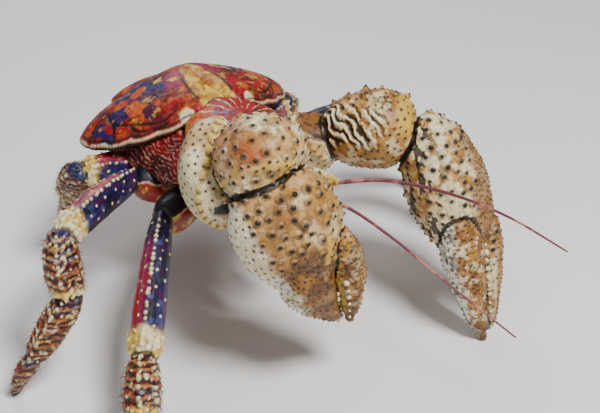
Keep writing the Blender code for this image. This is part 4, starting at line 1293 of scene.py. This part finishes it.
def dress_lobe(word, side):
    shape = lobe_form(side)
    lobe = skin_of(f"carapace_{word}_shell", shape, 0.8)
    lobe.places[:, 0] = side * np.maximum(side * lobe.places[:, 0], 0.0)
    rho, phi, mirror = lobe.s, lobe.phi, np.array([-side, 1, 1])
    # The direction in plan in degrees, from the outer side and towards the rear, alike on both lobes
    heading = (np.degrees(phi if side == LEFT else np.pi - phi) + 180) % 360 - 180
    front = smooth(-125, -112, heading) * smooth(42, 30, heading)
    back_edge = smooth(30, 42, heading) * smooth(165, 150, heading)
    up = lobe.normals[:, 2]
    top, margin = smooth(-0.3, 0.1, up), ridge(rho, 0.955, 0.018)
    seam = top * np.max([lobe.band(np.array(knots) * mirror, 1.9) for knots in LOBE_SEAMS], axis=0)
    lobe.paint(RUST)
    lobe.blotch(ORANGE, 0.8, 0.48, 0.62, 7, 33)
    lobe.blotch(CRIMSON, 0.9, 0.40, 0.54, 12, 35)
    lobe.blotch(WINE, 0.7, 0.5, 0.6, 8, 37)
    for seed, (tint, place, radius) in enumerate(LOBE_PATCHES[word]):
        lobe.paint(tint, 0.94 * lobe.near(place, radius, ragged=0.8, seed=seed))
    lobe.blotch(YELLOW, 0.55, 0.62, 0.72, 4.5, 39, smooth(0.95, 0.8, rho))
    lobe.blotch(UMBER, 0.5, 0.6, 0.7, 3.6, 45)
    x, y, _ = (lobe.places * mirror).T
    field = smooth(-1, 1, x + np.interp(y, [0, 10, 22, 36, 50], [13, 14, 12, 8, 1])) * smooth(50, 46, y)
    lobe.paint(YELLOW, 0.95 * field)
    lobe.blotch(OCHRE, 0.9, 0.38, 0.52, 6, 55, field)
    lobe.blotch(RUST, 0.7, 0.54, 0.64, 4, 57, field)
    lobe.paint(CREAM, 0.9 * lobe.near((side * 24, -4, 140), 5.5, ragged=0.3, seed=5))
    rim = smooth(0.975, 0.99, rho) * np.maximum(front, 0.8 * back_edge) * smooth(-0.05, 0.3, up)
    lobe.paint(UMBER, 0.85 * front * margin * top)
    # Painted shade: the lobe's underside, which faces down, is darkened
    lobe.paint(UMBER, 0.85 * smooth(0.2, -0.1, up))
    lobe.paint(CREAM, 0.9 * rim)
    lobe.paint(UMBER, 0.95 * seam)
    lobe.push(-0.8 * seam - 0.4 * front * margin + 0.8 * (marbled(lobe.places, 16, 41) - 0.5))
    beads = 0.5 + 0.5 * np.cos(phi * 110)
    lobe.push(0.5 * beads * ridge(rho, 0.99, 0.02) * front)
    lobe.push(0.35 * (cloud(lobe.places, 2.2, 51) - 0.5))
    return lobe


for word, side in (("left", LEFT), ("right", RIGHT)):
    dress_lobe(word, side).finish(back_shell, f"carapace_{word}")


# %% The shield
SHIELD_GROOVE = [(-18, -5, 146), (-16, -14, 147), (-19, -24, 146)]


def dress_shield():
    shape = Dome((0, -40), both_sides(SHIELD_OUTLINE), shield_edge, 11, 8)
    shield = skin_of("carapace_shield_shell", shape, 0.8)
    y, rho = shield.places[:, 1], shield.s
    streak = np.cos(shield.phi * 26 + 3.5 * marbled(shield.places, 8, 6))
    shield.paint(RUST)
    shield.blotch(ORANGE, 0.85, 0.4, 0.55, 9, 4)
    shield.blotch(OCHRE, 0.8, 0.5, 0.62, 7, 14)
    first, second = ((6, -20, 149), 17, 0.5, 4), ((18, -36, 145), 15, 0.5, 5)  # two overlapping spots
    crimson = np.maximum(shield.near(*first), shield.near(*second))
    shield.paint(CRIMSON, 0.97 * crimson)
    shield.blotch(WINE, 0.7, 0.5, 0.62, 6, 24, crimson)
    pale = smooth(0.9, 0.99, streak) * smooth(0.2, 0.4, rho) * smooth(0.92, 0.8, rho)
    shield.blotch(CREAM, 0.85, 0.4, 0.5, 9, 34, pale)
    shield.blotch(SLATE, 0.8, 0.52, 0.64, 5, 12, shield.near((-14, -32, 146), 12, seed=8))
    groove = np.maximum(ridge(rho, 0.86, 0.02) * smooth(-10, -30, y), shield.band(SHIELD_GROOVE, 1.4))
    waves, grains = marbled(shield.places, 14, 8) - 0.5, cloud(shield.places, 2.2, 5) - 0.5
    shield.push(0.9 * waves - 0.8 * groove + 0.35 * grains)
    shield.paint(UMBER, 0.9 * groove)
    shield.paint(OCHRE, 0.8 * smooth(0.9, 0.96, rho))
    return shield


shield = dress_shield()
for side in (LEFT, RIGHT):
    shield.shaded_crease(lobe_form(side), 1.4, 0.3)
shield.finish(back_shell, "carapace_shield")


# %% The wedge between the lobes
def dress_wedge():
    shape = Dome((0, 18), both_sides(WEDGE_OUTLINE), wedge_edge, 8.5, 8)
    wedge = skin_of("carapace_wedge_shell", shape, 0.8)
    wedge.roughen(0.6, 7, 3)
    wedge.paint(YELLOW)
    wedge.blotch(OCHRE, 1, 0.4, 0.62, 8, 5)
    wedge.paint(CREAM, 0.7 * smooth(0.8, 0.95, wedge.s))
    return wedge


dress_wedge().finish(back_shell, "carapace_wedge")


# %% The side walls under the back
class Thorax(Dome):
    """The trunk between the legs: widest at its shoulders, under the carapace."""

    SHARES = [0.55, 0.66, 0.78, 0.90, 1.0, 0.98, 0.9]
    LOW, HIGH = 66, 137

    def points(self, t, phi, grow=0.0):
        turn = -np.cos(np.pi * t)
        s = 0.5 + 0.5 * turn
        spread = np.maximum(np.sin(np.pi * t), 0) ** 0.4 * profile(self.SHARES, s)
        reach = (self.reach(phi) + grow) * spread
        x, y = self.centre[0] + reach * np.cos(phi), self.centre[1] + reach * np.sin(phi)
        slope = 0.04 * abs(x) ** 1.45 * s
        return np.column_stack([x, y, self.LOW + (self.HIGH - self.LOW) * s - slope + grow * turn])


def dress_thorax():
    shape = Thorax((0, -5), both_sides(THORAX_OUTLINE), None, 0, 0)
    thorax = skin_of("thorax_skin", shape, 1.1)
    x, _, z = thorax.places.T
    fold = np.cos((np.hypot(abs(x) - 25, z - 150) + 14 * marbled(thorax.places, 11, 3)) * 1.9)
    thorax.paint(CRIMSON)
    thorax.blotch(WINE, 1, 0.4, 0.58, 12, 5)
    thorax.blotch(PINK, 0.75, 0.44, 0.55, 6, 9, smooth(0.75, 1.0, fold))
    thorax.paint(UMBER, 0.5 * smooth(-0.4, -0.9, fold))
    thorax.paint(UMBER, 0.9 * smooth(0, 18, x) * smooth(85, 105, z))
    thorax.push(0.5 * fold + 0.8 * (marbled(thorax.places, 12, 7) - 0.5))
    return thorax


dress_thorax().finish(soft_skin, "thorax")


# %% [markdown]
# ## The abdomen
#
# Behind the back the abdomen bends down and under the body. Its skin is soft and folded, and four
# horny plates lie on its outer side like tiles. The bend is an arc in the middle plane, so its form
# is a tube round that arc. A small plain plate, the telson, ends it.

# %% The curl of the abdomen
class Curl:
    """A thick tube that bends down and under along an arc in the plane x = 0."""

    def __init__(self, centre, radius, first_deg, last_deg, widths, depths, blunt=0.5):
        self.centre, self.radius = np.array(centre, float), radius
        self.first, self.last = math.radians(first_deg), math.radians(last_deg)
        self.widths, self.depths, self.blunt = widths, depths, blunt

    def skin(self, s, phi, ends=1.0, grow=0.0):
        angle = self.first + (self.last - self.first) * s
        outwards = np.column_stack([0 * angle, np.cos(angle), np.sin(angle)])
        half_width = (profile(self.widths, s) + grow) * ends
        half_depth = (profile(self.depths, s) + grow) * ends
        places = self.centre + outwards * (self.radius + half_depth * np.sin(phi))[:, None]
        places[:, 0] += half_width * np.cos(phi)
        return places

    def points(self, t, phi, grow=0.0):
        ends = np.maximum(np.sin(np.pi * t), 0) ** self.blunt
        return self.skin(0.5 - 0.5 * np.cos(np.pi * t), phi, ends, grow)

    def where(self, places):
        away = places - self.centre
        angle = np.arctan2(away[:, 2], away[:, 1])
        angle = np.where(angle > self.first + 0.8, angle - math.tau, angle)
        s = np.clip((angle - self.first) / (self.last - self.first), 0, 1)
        depth = np.hypot(away[:, 1], away[:, 2]) - self.radius
        return s, np.arctan2(depth / profile(self.depths, s), away[:, 0] / profile(self.widths, s))


ABDOMEN = Curl((0, 66, 78), 27, 112, -118, [36, 47, 50, 45, 36, 26], [15, 25, 27, 25, 21, 15])
PLATE_SPANS = [(0.235, 0.36, 42), (0.375, 0.53, 62), (0.545, 0.68, 60), (0.695, 0.80, 54)]
abdomen = skin_of("abdomen_skin", ABDOMEN, 1.2)
folds = np.cos(abdomen.s * 58 + 2.2 * marbled(abdomen.places, 20, 3))
abdomen.push(0.6 * folds + 0.8 * (marbled(abdomen.places, 12, 5) - 0.5))
abdomen.paint(CRIMSON)
abdomen.blotch(WINE, 1, 0.4, 0.6, 18, 7)
abdomen.blotch(INDIGO, 0.6, 0.52, 0.66, 14, 9)
abdomen.paint(UMBER, 0.6 * smooth(-0.6, -0.95, folds))
abdomen.finish(soft_skin, "abdomen")


# %% Its four back plates
def back_plate(number, first, last, half_turn):
    """A grid that is laid on the abdomen, thickened and rounded, then grained across."""
    pick(floor)
    bpy.ops.mesh.primitive_grid_add(x_subdivisions=64, y_subdivisions=20, size=2)
    obj = bpy.context.object
    obj.name = f"abdomen_plate_{number}_shell"
    u, v, _ = get_vertices(obj).T
    s = first + (last - first) * (0.5 + 0.5 * v)
    phi = np.pi / 2 - math.radians(half_turn) * u * (1 - 0.10 * abs(v) ** 4)
    lift = 0.5 + 1.2 * (0.5 + 0.5 * v) + 0.5 * (1 - v**2)
    set_vertices(obj, in_metres(ABDOMEN.skin(s, phi, 1.0, lift)))
    face_outwards(obj)
    flat = np.zeros(3 * len(obj.data.vertices))
    obj.data.vertices.foreach_get("normal", flat)
    looks_out = np.sum(flat.reshape(-1, 3) * (get_vertices(obj) - in_metres(ABDOMEN.centre))) > 0
    modify(obj, "SOLIDIFY", thickness=0.0026, offset=1.0 if looks_out else -1.0)
    modify(obj, "BEVEL", width=0.0007, segments=2)
    face_outwards(obj)
    plate = Skin(obj, ABDOMEN)
    plate.roughen(0.5, 8, number)
    plate.paint(ORANGE)
    plate.blotch(RUST, 1, 0.4, 0.6, 10, number + 3)
    plate.blotch(INDIGO, 0.85, 0.5, 0.62, 15, number + 5)
    plate.paint(CREAM, 0.7 * smooth(last - 0.025, last - 0.005, plate.s))
    return plate


for number, (first, last, half_turn) in enumerate(PLATE_SPANS, start=2):
    back_plate(number, first, last, half_turn).finish(back_shell, f"abdomen_plate_{number}")

telson_form = Limb((0, 61, 44), (0, 32, 57), [13, 17, 16, 9], [5, 5.5, 4.5, 3])
telson = skin_of("telson_shell", telson_form, 0.9)
telson.paint(RUST)
telson.blotch(INDIGO, 0.7, 0.5, 0.62, 10, 5)
telson.finish(back_shell, "telson")

# %% [markdown]
# ## The head
#
# The eyes stand on short red stalks under the shield's beak. Beside them lie the short feelers and,
# outside these, the thick roots of the two long ones. The outer mouth legs hang in front of the mouth.


# %% Eyes, stalks, roots of the feelers and mouth legs
def dress_small(node, kind, shape, tints, material, voxel=0.5):
    skin = skin_of(f"{node}_{kind}", shape, voxel, soften=1)
    skin.roughen(0.3, 4, 3)
    skin.paint(tints[0])
    for i, tint in enumerate(tints[1:]):
        skin.blotch(tint, 1, 0.42, 0.6, 5, 11 + i)
    return skin.finish(material, node)


eye_gloss = painted(
    "eye_gloss", gloss=(0.05, 0.12), grain=900.0, pits=2500.0, pit_share=0.2, bump=0.08, coat=0.8
)
PEDUNCLES = {"left": ((17, -50, 110), (33, -105, 119)), "right": ((-17, -50, 106), (-12, -96, 112))}
for word, side in (("left", LEFT), ("right", RIGHT)):
    stalk = Limb((side * 5, -56, 119), (side * 8, -97, 124), [4, 4.5, 4.5, 4.2], [5, 5.5, 5, 4.6])
    cornea = Limb((side * 8, -93, 123.8), (side * 8.6, -102, 125), [4.2, 4.8, 4.2], [4.6, 5.2, 4.6])
    small = Limb((side * 5, -54, 107), (side * 6, -94, 112), [3, 2.8, 2.4, 1.8], [3, 3, 2.6, 1.8])
    peduncle = Limb(*PEDUNCLES[word], [6, 6.5, 6, 4.5], [6, 6.5, 6, 4.5])
    mouth = Limb((side * 9, -50, 92), (side * 10, -84, 66), [7, 8, 7, 4], [9, 10, 8, 4])
    dress_small(f"eyestalk_{word}", "skin", stalk, [RUST, CRIMSON, ORANGE], soft_skin)
    dress_small(f"eye_{word}", "cornea", cornea, [UMBER * 0.4], eye_gloss)
    dress_small(f"antennule_{word}", "skin", small, [RUST, MAGENTA], leg_shell)
    dress_small(f"antenna_{word}", "shell", peduncle, [CREAM, YELLOW, OCHRE], claw_shell)
    dress_small(f"maxilliped_{word}", "shell", mouth, [RUST, CRIMSON, CREAM], leg_shell, 0.8)

# %% [markdown]
# The long feelers are whips of hundreds of short rings. Each is a tube swept along a smooth line, and
# its radius swells a little at every ring.

# %% Long feelers
FLAGELLA = {
    "left": [(33, -104, 119), (56, -126, 124), (80, -158, 123), (97, -196, 120), (110, -236, 112)],
    "right": [
        (-12, -96, 112), (4, -105, 117), (24, -122, 114), (43, -152, 98), (60, -190, 78), (78, -234, 58),
    ],
}


RINGS = 110  # how many times a feeler's radius swells from its root to its tip


def swept_tube(name, line, radii, sides=10):
    """A closed tube along the line, with one radius for each of its places."""
    ahead = np.gradient(line, axis=0)
    ahead /= np.linalg.norm(ahead, axis=1)[:, None]
    side = np.cross(ahead, UP)
    side /= np.linalg.norm(side, axis=1)[:, None]
    over = np.cross(side, ahead)
    turns = np.linspace(0, math.tau, sides, endpoint=False)
    rings = [line + (side * math.cos(a) + over * math.sin(a)) * radii[:, None] for a in turns]
    places = np.stack(rings, axis=1).reshape(-1, 3)
    faces = []
    for i in range(len(line) - 1):
        for j in range(sides):
            k = (j + 1) % sides
            faces.append((i * sides + j, i * sides + k, (i + 1) * sides + k, (i + 1) * sides + j))
    faces.append(tuple(range(sides - 1, -1, -1)))
    faces.append(tuple((len(line) - 1) * sides + j for j in range(sides)))
    obj = new_mesh(name, places, faces)
    face_outwards(obj)
    return obj


for word, knots in FLAGELLA.items():
    line = smooth_line(knots, 110)
    share = np.linspace(0, 1, len(line))
    radii = (1.6 - 1.0 * share) * (1 + 0.10 * np.cos(share * math.tau * RINGS))
    whip = Skin(swept_tube(f"flagellum_{word}_rings", line, radii), Whole())
    whip.paint(MAGENTA * 0.5)
    whip.blotch(PINK, 0.5, 0.5, 0.66, 9, 3)
    whip.blotch(WINE, 0.7, 0.5, 0.65, 14, 5)
    whip.finish(feeler_shell, f"flagellum_{word}")

# %% Remove the models of a tooth and a bristle
pick(tooth_model, bristle_model)
bpy.ops.object.delete()
